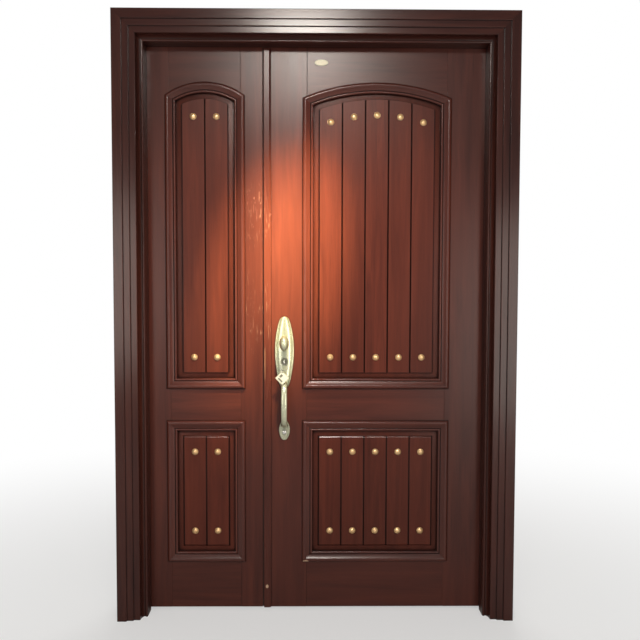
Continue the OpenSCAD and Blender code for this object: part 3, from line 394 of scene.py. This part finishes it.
def tag_card():
    """White card in a clear sleeve, with a grey edge and two plain grey fields."""
    s = Shader("card_tag", Specular_IOR_Level=0.5, Coat_Weight=0.6, Coat_Roughness=0.08)
    x, _, z = s.split(s.place(s.coord, move=(-TAG_X, 0, -TAG_Z)))
    u = s.math("MULTIPLY", s.math("ADD", x, z), 0.7071)
    v = s.math("MULTIPLY", s.math("SUBTRACT", z, x), 0.7071)
    far = s.math("MAXIMUM", s.math("ABSOLUTE", u), s.math("ABSOLUTE", v))
    edge = s.span(far, 0.0155, 0.0162)
    low = s.math("MULTIPLY", s.band(u, (-0.0136, -0.0130), (-0.0065, -0.0072)),
                 s.span(s.math("ABSOLUTE", v), 0.0100, 0.0092))
    side = s.math("MULTIPLY", s.band(v, (0.0030, 0.0036), (0.0128, 0.0122)),
                  s.band(u, (-0.0040, -0.0034), (0.0090, 0.0084)))
    cloud = s.noise(s.coord, scale=120, detail=4, rough=0.6)
    colour = s.mix(s.span(cloud, 0.35, 0.7, 0.0, 0.35), (0.47, 0.51, 0.50), (0.37, 0.41, 0.40))
    colour = s.mix(s.math("MULTIPLY", edge, 0.55), colour, (0.20, 0.21, 0.19))
    colour = s.mix(s.math("MULTIPLY", s.math("MAXIMUM", low, side), 0.88), colour, (0.055, 0.06, 0.058))
    s.colour(colour)
    s.rough(s.span(cloud, 0.3, 0.7, 0.28, 0.42))
    s.bump(cloud, strength=0.08, distance=0.4 * MM)
    return s.mat


def enamel():
    """Cream enamel with a pale metal lip."""
    s = Shader("enamel_badge", Specular_IOR_Level=0.45)
    half_w, half_h = 23.5 * MM, 10.6 * MM
    x, _, z = s.split(s.place(s.coord, move=(-BADGE_X, 0, -BADGE_Z)))
    u, v = s.math("DIVIDE", x, half_w), s.math("DIVIDE", z, half_h)
    far = s.math("ADD", s.math("MULTIPLY", u, u), s.math("MULTIPLY", v, v))
    lip = s.band(far, (0.66, 0.72), (0.90, 0.84))
    cloud = s.noise(s.coord, scale=260, detail=4, rough=0.6)
    colour = s.mix(s.span(cloud, 0.35, 0.7, 0.0, 0.4), (0.74, 0.70, 0.52), (0.62, 0.58, 0.42))
    s.colour(s.mix(s.math("MULTIPLY", lip, 0.6), colour, (0.36, 0.32, 0.20)))
    s.rough(s.span(cloud, 0.3, 0.7, 0.38, 0.5))
    s.bump(cloud, strength=0.06, distance=0.3 * MM)
    return s.mat


nickel = metal("nickel_satin", (0.70, 0.74, 0.55), (0.46, 0.48, 0.34), 0.27, crevice_shade=13 * MM, metallic=0.88)
steel = metal("steel_zinc", (0.56, 0.56, 0.55), (0.36, 0.35, 0.33), 0.36, brushed=(700, 700, 30), spots=0.4)
bright = metal("steel_key", (0.82, 0.83, 0.78), (0.60, 0.60, 0.54), 0.20, crevice_shade=4 * MM)
shaded = metal("nickel_shaded", (0.56, 0.58, 0.43), (0.34, 0.34, 0.25), 0.27, crevice_shade=20 * MM, metallic=0.88)
# Painted shade: a dark nickel for the hollow of the lock cylinder and the crosses of the screw heads.
painted_shade_nickel = metal("nickel_painted_shade", (0.34, 0.34, 0.26), (0.20, 0.19, 0.14), 0.34, spots=0.4, crevice_shade=9 * MM)
hinge = metal("steel_hinge", (0.62, 0.60, 0.54), (0.38, 0.36, 0.32), 0.30, spots=0.35)
brass = metal("brass_studs", (0.88, 0.60, 0.31), (0.62, 0.36, 0.15), 0.32, spots=0.5, crevice_shade=2 * MM, metallic=0.80)
gasket = plain("rubber_lip", (0.026, 0.011, 0.009), (0.040, 0.017, 0.013), 0.55, 60)
rubber = plain("rubber_seal", (0.018, 0.018, 0.018), (0.035, 0.034, 0.033), 0.62, 60)
board = plain("board_infill", (0.36, 0.25, 0.13), (0.28, 0.18, 0.09), 0.8, 40, grain=0.4, height=0.2)
primer = plain("primer_tray", (0.16, 0.155, 0.145), (0.12, 0.115, 0.108), 0.5, 24)

for mat, names in (
        (nickel, ("inner_plate", "inner_knob", "dead_bolt", "latch_bolt", "thumb_turn", "handle_plate", "pull_grip",
                  "pull_rosette", "outer_knob")),
        (painted_shade_nickel, ("lock_cylinder", "cylinder_plug")),
        (bright, ("door_key", "key_ring")),
        (steel, ("strike_box", "bolt_guides", "top_bolt", "bottom_bolt", "lock_case", "knob_spindle")),
        (hinge, ("hinge_frame_plates", "hinge_pins", "narrow_hinge_plates", "wide_hinge_plates")),
        (brass, ("narrow_studs", "wide_studs")),
        (board, ("narrow_infill", "wide_infill")),
        (primer, ("narrow_steel_tray", "wide_steel_tray")),
        (rubber, ("frame_seal",)),
        (tag_card(), ("key_tag",)),
        (enamel(), ("oval_badge",))):
    for node in names:
        materials[node] = mat


# CAD nodes: clean shading by angle, small rounded edges, procedural materials

SHADE_ANGLE = math.radians(32)
FIELD_ANGLE = math.radians(68)


def dress_group():
    """Joins the split corners of a CAD mesh and shades it by angle."""
    tree = bpy.data.node_groups.new("clean_shading", "GeometryNodeTree")
    tree.interface.new_socket("Geometry", in_out="INPUT", socket_type="NodeSocketGeometry")
    tree.interface.new_socket("Geometry", in_out="OUTPUT", socket_type="NodeSocketGeometry")
    made = tree.nodes.new
    start, end = made("NodeGroupInput"), made("NodeGroupOutput")
    forget = made("GeometryNodeRemoveAttribute")
    forget.inputs["Name"].default_value = "custom_normal"
    merge = made("GeometryNodeMergeByDistance")
    merge.inputs["Distance"].default_value = 0.002 * MM
    angle = made("GeometryNodeInputMeshEdgeAngle")
    over = made("FunctionNodeCompare")
    over.data_type, over.operation = "FLOAT", "GREATER_THAN"
    over.inputs[1].default_value = SHADE_ANGLE
    soft, sharp = made("GeometryNodeSetShadeSmooth"), made("GeometryNodeSetShadeSmooth")
    soft.domain, sharp.domain = "FACE", "EDGE"
    soft.inputs["Shade Smooth"].default_value = True
    sharp.inputs["Shade Smooth"].default_value = False
    link = tree.links.new
    link(start.outputs[0], forget.inputs["Geometry"])
    link(forget.outputs[0], merge.inputs["Geometry"])
    link(merge.outputs[0], soft.inputs["Geometry"])
    link(soft.outputs[0], sharp.inputs["Geometry"])
    link(angle.outputs["Unsigned Angle"], over.inputs[0])
    link(over.outputs[0], sharp.inputs["Selection"])
    link(sharp.outputs[0], end.inputs[0])
    return tree


CLEAN = dress_group()
FIELD_BEVEL = 3.2 * MM           # slope round each field of planks
ROUND = {node: 1.0 * MM for node in nodes if "stile" in node or "rail" in node}
ROUND.update({
    "meeting_strip": 1.4 * MM, "left_casing": 2.0 * MM, "right_casing": 2.0 * MM, "head_casing": 2.0 * MM,
    "inner_casing": 0.8 * MM, "dead_bolt": 1.0 * MM, "latch_bolt": 0.8 * MM, "inner_plate": 0.8 * MM,
    "thumb_turn": 1.2 * MM, "lock_cylinder": 0.6 * MM, "cylinder_plug": 0.3 * MM, "door_key": 0.35 * MM,
    "key_tag": 0.3 * MM, "oval_badge": 0.35 * MM, "strike_box": 0.5 * MM, "inner_knob": 1.0 * MM})
for name, obj in nodes.items():
    obj.data.materials.clear()
    obj.data.materials.append(materials[name])
    clean = obj.modifiers.new("clean", "NODES")
    clean.node_group = CLEAN
    field = name.endswith("_panel")
    if field or name in ROUND:
        soften = obj.modifiers.new("round", "BEVEL")
        soften.width = FIELD_BEVEL if field else ROUND[name]
        soften.segments = 1 if field else 3
        soften.mark_sharp = field
        soften.limit_method = "ANGLE"
        soften.angle_limit = FIELD_ANGLE if field else SHADE_ANGLE


# Pieces made here

def piece(name, mesh, body, mat, smooth):
    """Adds a mesh as a piece of a body, with edges sharper than the smooth angle left sharp."""
    obj = bpy.data.objects.new(name, mesh)
    bpy.context.scene.collection.objects.link(obj)
    mesh.materials.clear()
    mesh.materials.append(mat)
    mesh.shade_smooth()
    mesh.set_sharp_from_angle(angle=math.radians(smooth))
    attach(obj, body)
    return obj


def to_mesh(bm, name):
    mesh = bpy.data.meshes.new(name)
    bm.to_mesh(mesh)
    bm.free()
    return mesh


def skin(bm, rings):
    """Closed skin over rings of equal length."""
    rows = [[bm.verts.new(p) for p in ring] for ring in rings]
    n = len(rows[0])
    for a, b in zip(rows, rows[1:]):
        for j in range(n):
            k = (j + 1) % n
            bm.faces.new((a[j], a[k], b[k], b[j]))
    bm.faces.new(list(reversed(rows[0])))
    bm.faces.new(rows[-1])


def loft(rings):
    bm = bmesh.new()
    skin(bm, rings)
    bmesh.ops.recalc_face_normals(bm, faces=bm.faces)
    return to_mesh(bm, "loft")


def lathe(profile, origin, axis, steps=48):
    """Turned solid: profile of (radius, height) along an axis from an origin."""
    axis = Vector(axis).normalized()
    side = axis.orthogonal().normalized()
    other = axis.cross(side)
    rings = []
    for r, h in profile:
        ring = []
        for i in range(steps):
            a = 2 * math.pi * i / steps
            ring.append(Vector(origin) + axis * h + (side * math.cos(a) + other * math.sin(a)) * r)
        rings.append(ring)
    return loft(rings)


# Sections of a plate from its edge to its middle: share of the half width, share of the dome
RIM = ((1, 0), (1, 0.22), (0.992, 0.33), (0.970, 0.44), (0.935, 0.505), (0.895, 0.53), (0.86, 0.515),
       (0.83, 0.45), (0.805, 0.385), (0.78, 0.37), (0.755, 0.40), (0.73, 0.50), (0.705, 0.60), (0.67, 0.675),
       (0.60, 0.76), (0.50, 0.85), (0.38, 0.925), (0.24, 0.975), (0.10, 0.996), (0, 1))
DISH = ((1, 0), (1, 0.34), (0.985, 0.50), (0.95, 0.63), (0.90, 0.71), (0.84, 0.735), (0.78, 0.70), (0.72, 0.60),
        (0.66, 0.48), (0.60, 0.42), (0.50, 0.40), (0.30, 0.40), (0.10, 0.40), (0, 0.40))
OUTWARD = (0, -1, 0)


def almond(zc, up, down, width, dome, blunt, section, steps):
    """Long oval plate with blunt ends and a section from rim to middle."""
    rings = []
    for i in range(steps + 1):
        s = -0.997 * math.cos(math.pi * i / steps)
        half = width / 2 * ((1 - blunt) * (1 - s * s) ** 1.1 + blunt * (1 - s ** 16) ** 0.5)
        rise = dome * min(1, 0.55 + half / (30 * MM))
        z = zc + s * (up if s > 0 else down)
        right = [(HANDLE_X + half * f, LEAF_Y - rise * h, z) for f, h in section]
        left = [(HANDLE_X - half * f, LEAF_Y - rise * h, z) for f, h in reversed(section[:-1])]
        rings.append(right + left)
    return loft(rings)


def combined(meshes, cutters=()):
    """One mesh from several solids, with other solids cut away."""
    scene = bpy.context.scene.collection.objects
    base = bpy.data.objects.new("base", meshes[0])
    scene.link(base)
    extra = []
    for mesh, op in [(m, "UNION") for m in meshes[1:]] + [(m, "DIFFERENCE") for m in cutters]:
        tool = bpy.data.objects.new("tool", mesh)
        scene.link(tool)
        extra.append(tool)
        step = base.modifiers.new("step", "BOOLEAN")
        step.operation = op
        step.solver = "EXACT"
        step.object = tool
    bpy.context.view_layer.update()
    result = bpy.data.meshes.new_from_object(base.evaluated_get(bpy.context.evaluated_depsgraph_get()))
    for obj in [base] + extra:
        bpy.data.objects.remove(obj, do_unlink=True)
    return result


def through(z, r):
    """Cutter for a round hole through a plate."""
    behind, length = 20 * MM, 60 * MM
    return lathe([(r, 0), (r, length)], (HANDLE_X, LEAF_Y + behind, z), OUTWARD)


def boss(z, r, reach, foot):
    """Round boss on a plate with a coved foot and a softened lip."""
    steps = 6
    profile = [(r + foot, 0), (r + foot, reach * 0.55)]
    for i in range(1, steps + 1):
        a = math.pi / 2 * i / steps
        profile.append((r + foot * (1 - math.sin(a)), reach * 0.55 + reach * 0.25 * (1 - math.cos(a))))
    profile += [(r, reach * 0.94), (r - 0.25 * MM, reach * 0.985), (r - 0.7 * MM, reach)]
    return lathe(profile, (HANDLE_X, LEAF_Y, z), OUTWARD)


def spline(points, steps):
    """Smooth run through points (Catmull-Rom)."""
    out = []
    last = len(points) - 1
    for i in range(last):
        p0, p1, p2, p3 = (Vector(points[min(max(k, 0), last)]) for k in (i - 1, i, i + 1, i + 2))
        for j in range(steps):
            t = j / steps
            out.append(0.5 * (2 * p1 + (p2 - p0) * t + (2 * p0 - 5 * p1 + 4 * p2 - p3) * t * t
                              + (3 * p1 - p0 - 3 * p2 + p3) * t ** 3))
    return out + [Vector(points[-1])]


def plate_and_rosette():
    """The two plates of the handle, each with a boss for the grip, and a bright stud on the lower one."""
    reach = PLATE_DOME + 1.0 * MM
    plate = combined([almond(PLATE_Z, up=120.7 * MM, down=137.3 * MM, width=69 * MM, dome=PLATE_DOME, blunt=0.44,
                             section=RIM, steps=80),
                      boss(GRIP_TOP_Z, 9 * MM, reach, foot=2.5 * MM)],
                     [through(KNOB_Z, 11 * MM), through(CYLINDER_Z, 13 * MM)])
    made = piece("fine_handle_plate", plate, "wide_leaf", nickel, 34)
    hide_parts("handle_plate")

    rosette = combined([almond(ROSETTE_Z, up=36.6 * MM, down=36.6 * MM, width=40 * MM, dome=7 * MM, blunt=0.40,
                               section=DISH, steps=56),
                        boss(GRIP_LOW_Z, 7.65 * MM, reach, foot=2 * MM)])
    made = piece("fine_pull_rosette", rosette, "wide_leaf", shaded, 34)
    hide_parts("pull_rosette")

    steps, dome_r, dome_z, dome_h = 7, 6.0, 7.8, 1.7
    stud = [(7.2 * MM, 0), (7.2 * MM, 7.2 * MM), (6.6 * MM, 7.7 * MM), (dome_r * MM, dome_z * MM)]
    for i in range(steps):
        a = math.pi / 2 * i / steps
        stud.append((dome_r * MM * math.cos(a), (dome_z + dome_h * math.sin(a)) * MM))
    stud.append((0.15 * MM, (dome_z + dome_h) * MM))
    made = lathe(stud, (HANDLE_X, LEAF_Y, ROSETTE_Z - 8 * MM), OUTWARD)
    piece("rosette_stud", made, "wide_leaf", bright, 34)


def pull_grip():
    """Bowed grip between the two bosses, widest above its middle."""
    foot_y, bow, wide, thick, square = -26.6 * MM, 35.9 * MM, 11 * MM, 5.5 * MM, 0.86
    rows, sides, near, end = 84, 36, 0.012, 0.004
    middle, half_run = (GRIP_TOP_Z + GRIP_LOW_Z) / 2, (GRIP_TOP_Z - GRIP_LOW_Z) / 2

    def path(u):
        return Vector((foot_y - bow * math.sin(math.pi * u) ** 0.75, middle + half_run * math.cos(math.pi * u)))

    rings = []
    for i in range(rows + 1):
        u = i / rows
        at = path(u)
        ahead = path(min(1, u + near)) - path(max(0, u - near))
        if u < end or u > 1 - end:
            ahead = Vector((-1 if u < 0.5 else 1, 0))
        ahead.normalize()
        half = wide * (0.62 + 0.38 * math.sin(math.radians(25 + 135 * u ** 0.8)))
        ring = []
        for j in range(sides):
            a = 2 * math.pi * j / sides
            px, pq = math.cos(a), math.sin(a)
            px = math.copysign(abs(px) ** square, px) * half
            pq = math.copysign(abs(pq) ** square, pq) * thick
            ring.append((HANDLE_X + px, at[0] - pq * ahead[1], at[1] + pq * ahead[0]))
        rings.append(ring)
    made = piece("fine_pull_grip", loft(rings), "wide_leaf", nickel, 50)
    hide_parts("pull_grip")


# Outer knob from its neck to its nose: y, half width and half height in millimetres
KNOB_RUN = ((-22, 9.5, 9.5), (-26.9, 9.5, 9.5), (-28.2, 9.1, 9.1), (-30, 8.3, 8.5), (-32, 8.2, 9.6),
            (-35, 9.0, 12.8), (-38, 10.8, 17.2), (-44, 14.2, 23.0), (-50.2, 16.3, 26.4), (-56.4, 17, 27.5),
            (-62.6, 16.3, 26.4), (-68.7, 14.1, 22.8), (-73.4, 10.7, 17.3), (-76.5, 6.4, 10.4), (-78, 1.2, 2.0))


def outer_knob():
    """Egg-shaped knob on a short neck."""
    sides = 56
    turns = [2 * math.pi * j / sides for j in range(sides)]
    rings = [[(HANDLE_X + a * MM * math.sin(t), y * MM, KNOB_Z + b * MM * math.cos(t)) for t in turns]
             for y, a, b in spline(KNOB_RUN, 5)]
    made = piece("fine_outer_knob", loft(rings), "knob_set", nickel, 50)
    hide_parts("outer_knob")


def meeting_lip():
    """Soft rubber lip on the edge of the wide leaf, which closes the gap to the narrow leaf."""
    root, tip, y = -187.5 * MM, -191.2 * MM, -13.6 * MM
    low, high = 11 * MM, 2036.5 * MM
    outline = [(root, y - 1.8 * MM), (root, y + 3.2 * MM), (root - 0.9 * MM, y + 2.6 * MM),
               (root - 1.6 * MM, y + 1.0 * MM), (tip + 0.3 * MM, y + 0.8 * MM), (tip, y + 0.3 * MM),
               (tip, y - 0.3 * MM), (tip + 0.3 * MM, y - 0.8 * MM), (root - 1.6 * MM, y - 1.0 * MM),
               (root - 0.9 * MM, y - 1.5 * MM)]
    mesh = loft([[(px, py, z) for px, py in outline] for z in (low, high)])
    piece("meeting_lip", mesh, "wide_leaf", gasket, 30)


def field_edges():
    """Sloping top edges of the lower planks, in the corner that the panel bevel cuts away."""
    top, face, cut = LOWER_FIELD_Z, PLANK_Y, FIELD_BEVEL
    sunk, thick, gap = 0.02 * MM, 1.5 * MM, 2.5 * MM
    section = ((face + sunk, top - cut), (face + cut / 2, top - sunk), (face + cut + thick, top - sunk),
               (face + thick, top - cut - 0.5 * MM))
    for leaf, centre, count in (("narrow", NARROW_X, 2), ("wide", WIDE_X, 5)):
        bm = bmesh.new()
        for k in range(count):
            x0 = centre + (k - count / 2) * PLANK_W + (cut if k == 0 else gap)
            x1 = centre + (k + 1 - count / 2) * PLANK_W - (cut if k == count - 1 else gap)
            skin(bm, [[(x, y, z) for y, z in section] for x in (x0, x1)])
        bmesh.ops.recalc_face_normals(bm, faces=bm.faces)
        mesh = to_mesh(bm, "field_edge")
        mat = wood("wood_%s_field_edge" % leaf, PLANK_TONES, "X", 41 + count, 0.27, shine=EDGE_SHINE)
        piece(leaf + "_field_edge", mesh, leaf + "_leaf", mat, 20)


SCREW_HEAD = ((3.9 * MM, -0.6 * MM), (3.9 * MM, 0.03 * MM), (3.6 * MM, 0.09 * MM), (0.1 * MM, 0.09 * MM))
CROSS_L, CROSS_W, CROSS_H, CROSS_AT = 4.6 * MM, 1.0 * MM, 0.10 * MM, 0.065 * MM


def screws(name, body, spots, mat):
    """Flat screws with a dark cross on the head, painted shade for a cross recess that is not cut. spots lists
    (place, facing) in millimetres.
    """
    heads, crosses = bmesh.new(), bmesh.new()
    for at, facing in spots:
        at, axis = Vector(at) * MM, Vector(facing)
        head = lathe(SCREW_HEAD, at, axis, 28)
        heads.from_mesh(head)
        bpy.data.meshes.remove(head)
        turn = Matrix.Translation(at + axis * CROSS_AT) @ axis.to_track_quat("Z", "Y").to_matrix().to_4x4()
        for wide, high in ((CROSS_L, CROSS_W), (CROSS_W, CROSS_L)):
            bmesh.ops.create_cube(crosses, size=1, matrix=turn @ Matrix.Diagonal((wide, high, CROSS_H, 1)))
    piece(name, to_mesh(heads, name), body, mat, 30)
    # Painted shade: a dark cross stands for the recess in each screw head.
    piece(name + "_cross", to_mesh(crosses, name + "_cross"), body, painted_shade_nickel, 30)


def hinge_spots(x, facing):
    """Four screws in each of three hinges: a pair near the pin and a closer pair behind it."""
    return [((x, y, z + k * rise), (facing, 0, 0))
            for z in (250, 1030, 1800) for y, rise in ((30, 40), (44, 15)) for k in (-1, 1)]


plate_and_rosette()
pull_grip()
outer_knob()
meeting_lip()
field_edges()
screws("frame_screws", "frame", hinge_spots(614.2, -1) + hinge_spots(-614.2, 1), steel)
screws("narrow_screws", "narrow_leaf", hinge_spots(-613.8, -1)
       + [((-194.5, 24, z), (1, 0, 0)) for z in (811, 1007)], steel)
screws("wide_screws", "wide_leaf", hinge_spots(613.8, 1)
       + [((-183.5, 24, z), (-1, 0, 0)) for z in (778, 1054)], steel)
screws("plate_screws", "wide_leaf", [((-113.5, 60, z), (0, 1, 0)) for z in (851, 1041)], nickel)


# Camera, floor, world and lamps

SENSOR_W = 36
FOCAL = 771.13 / 640                              # fitted focal length as a share of the picture's width
CAMERA_AT = (-0.0178, -2.7857, 1.2053)
CAMERA_TURN = (0.664, -2.974, 0.144)              # yaw, pitch and roll in degrees


def look():
    cam_data = bpy.data.cameras.new("camera")
    cam_data.sensor_width = SENSOR_W
    cam_data.lens = FOCAL * SENSOR_W
    cam = bpy.data.objects.new("camera", cam_data)
    bpy.context.scene.collection.objects.link(cam)
    yaw, pitch, roll = (math.radians(a) for a in CAMERA_TURN)
    ahead = Vector((math.sin(yaw), math.cos(yaw), 0))
    right = Vector((math.cos(yaw), -math.sin(yaw), 0))
    up = Vector((0, 0, 1))
    fwd = ahead * math.cos(pitch) + up * math.sin(pitch)
    top = up * math.cos(pitch) - ahead * math.sin(pitch)
    x = right * math.cos(roll) + top * math.sin(roll)
    y = top * math.cos(roll) - right * math.sin(roll)
    turn = Matrix((x, y, -fwd)).transposed().to_4x4()
    cam.matrix_world = Matrix.Translation(CAMERA_AT) @ turn
    bpy.context.scene.camera = cam


def stage():
    """Pale floor that fades to white away from the part. Returns a collection that keeps a lamp off the floor."""
    mesh = bpy.data.meshes.new("floor")
    e = 14
    mesh.from_pydata([(-e, -e, 0), (e, -e, 0), (e, e, 0), (-e, e, 0)], [], [(0, 1, 2, 3)])
    floor = bpy.data.objects.new("floor", mesh)
    bpy.context.scene.collection.objects.link(floor)
    s = Shader("floor_pale", Specular_IOR_Level=0.1, Base_Color=(0.86, 0.86, 0.85, 1), Roughness=0.9)
    path = s.node("ShaderNodeLightPath")
    x, y, _ = s.split(s.coord)
    mirrored = s.math("MULTIPLY", path.outputs["Is Glossy Ray"], s.span(y, 0.0, 0.6))
    seen = s.math("MAXIMUM", path.outputs["Is Camera Ray"],
                  s.math("MAXIMUM", mirrored, path.outputs["Is Transmission Ray"]))
    far = s.math("SQRT", s.math("ADD", s.math("MULTIPLY", x, x), s.math("MULTIPLY", y, y)))
    blend = s.node("ShaderNodeMixShader")
    s.put(blend.inputs[0], s.math("MULTIPLY", seen, s.span(far, 0.6, 3.2, 0.45, 1.0)))
    s.put(blend.inputs[1], s.bsdf.outputs[0])
    s.put(blend.inputs[2], s.node("ShaderNodeEmission").outputs[0])
    s.put(s.tree.nodes["Material Output"].inputs["Surface"], blend.outputs[0])
    mesh.materials.append(s.mat)
    unlit = bpy.data.collections.new("floor_only")
    unlit.objects.link(floor)
    unlit.collection_objects[0].light_linking.link_state = "EXCLUDE"
    return unlit


def surroundings():
    """White behind the part, a grey room in front of it in reflections, and dim light."""
    world = bpy.data.worlds.new("world")
    bpy.context.scene.world = world
    world.use_nodes = True
    g = Graph(world.node_tree)
    path = g.node("ShaderNodeLightPath")
    _, y, _ = g.split(g.node("ShaderNodeTexCoord").outputs["Generated"])
    front = g.span(y, -0.55, 0.15, 0.17, 1.0, curve="LINEAR")
    seen = g.math("MAXIMUM", path.outputs["Is Camera Ray"], path.outputs["Is Transmission Ray"])
    gloss = g.math("MULTIPLY", path.outputs["Is Glossy Ray"], front)
    back = g.tree.nodes["Background"]
    g.put(back.inputs["Strength"], g.math("MAXIMUM", g.math("MAXIMUM", seen, gloss), 0.25))
    back.inputs["Color"].default_value = (1, 1, 1, 1)


def lamp(name, kind, at, aim, energy, colour, mirrored=True, matt=True, spare=None, **props):
    """A lamp at a place, aimed at another. It may be left out of gloss or of matt light, or spare some objects."""
    data = bpy.data.lights.new(name, kind)
    data.energy = energy
    data.color = colour
    for key, value in props.items():
        setattr(data, key, value)
    obj = bpy.data.objects.new(name, data)
    bpy.context.scene.collection.objects.link(obj)
    obj.location = at
    obj.visible_glossy = mirrored
    obj.visible_diffuse = matt
    obj.light_linking.receiver_collection = spare
    obj.rotation_euler = (Vector(aim) - Vector(at)).to_track_quat("-Z", "Y").to_euler()


def panel_lamp(name, at, aim, energy, colour, wide, high, **props):
    lamp(name, "AREA", at, aim, energy, colour, shape="RECTANGLE", size=wide, size_y=high, **props)


def spot_lamp(name, at, aim, energy, colour, cone, soft):
    """A soft-edged spot that lights the part only, and that the gloss doesn't show."""
    lamp(name, "SPOT", at, aim, energy, colour, mirrored=False, spare=no_floor, spot_size=math.radians(cone),
         spot_blend=1.0, shadow_soft_size=soft)


CEILING = (-0.06, -2.3, 2.66)
CEILING_SPREAD = math.radians(110)

look()
no_floor = stage()
surroundings()
panel_lamp("main", CEILING, (-0.05, 0.0, 1.30), 14, (1.0, 0.94, 0.86), 0.46, 0.28, matt=False,
           spread=CEILING_SPREAD)
panel_lamp("upper", CEILING, (-0.05, 0.0, 1.10), 7.5, (1.0, 0.92, 0.82), 0.8, 0.3, mirrored=False,
           spread=CEILING_SPREAD)
spot_lamp("pool", (0.25, -0.98, 2.80), (-0.13, 0.0, 1.27), 1450, (1.0, 0.80, 0.42), cone=19.5, soft=0.04)
spot_lamp("core", (-0.06, -0.55, 2.85), (-0.115, 0.0, 1.25), 2000, (1.0, 0.84, 0.42), cone=8.5, soft=0.04)
spot_lamp("halo", (0.85, -1.95, 2.35), (-0.10, 0.0, 1.20), 250, (1.0, 0.70, 0.44), cone=39, soft=0.08)
panel_lamp("fill", (0.2, -4.4, 1.7), (0, 0, 1.0), 36, (1.0, 0.97, 0.94), 3.4, 2.4, mirrored=False)
panel_lamp("room", (0.4, 3.2, 2.6), (0, 0, 1.0), 70, (1.0, 0.98, 0.95), 2.6, 2.2, mirrored=False)
panel_lamp("window_left", (-1.56, -3.2, 1.18), (-0.6, 0, 1.2), 15.5, (1.0, 0.90, 0.82), 0.7, 1.25)
panel_lamp("window_right", (1.56, -3.2, 0.92), (0.6, 0, 1.0), 17.5, (1.0, 0.90, 0.82), 0.7, 1.5)

bpy.context.scene.view_settings.view_transform = "Standard"
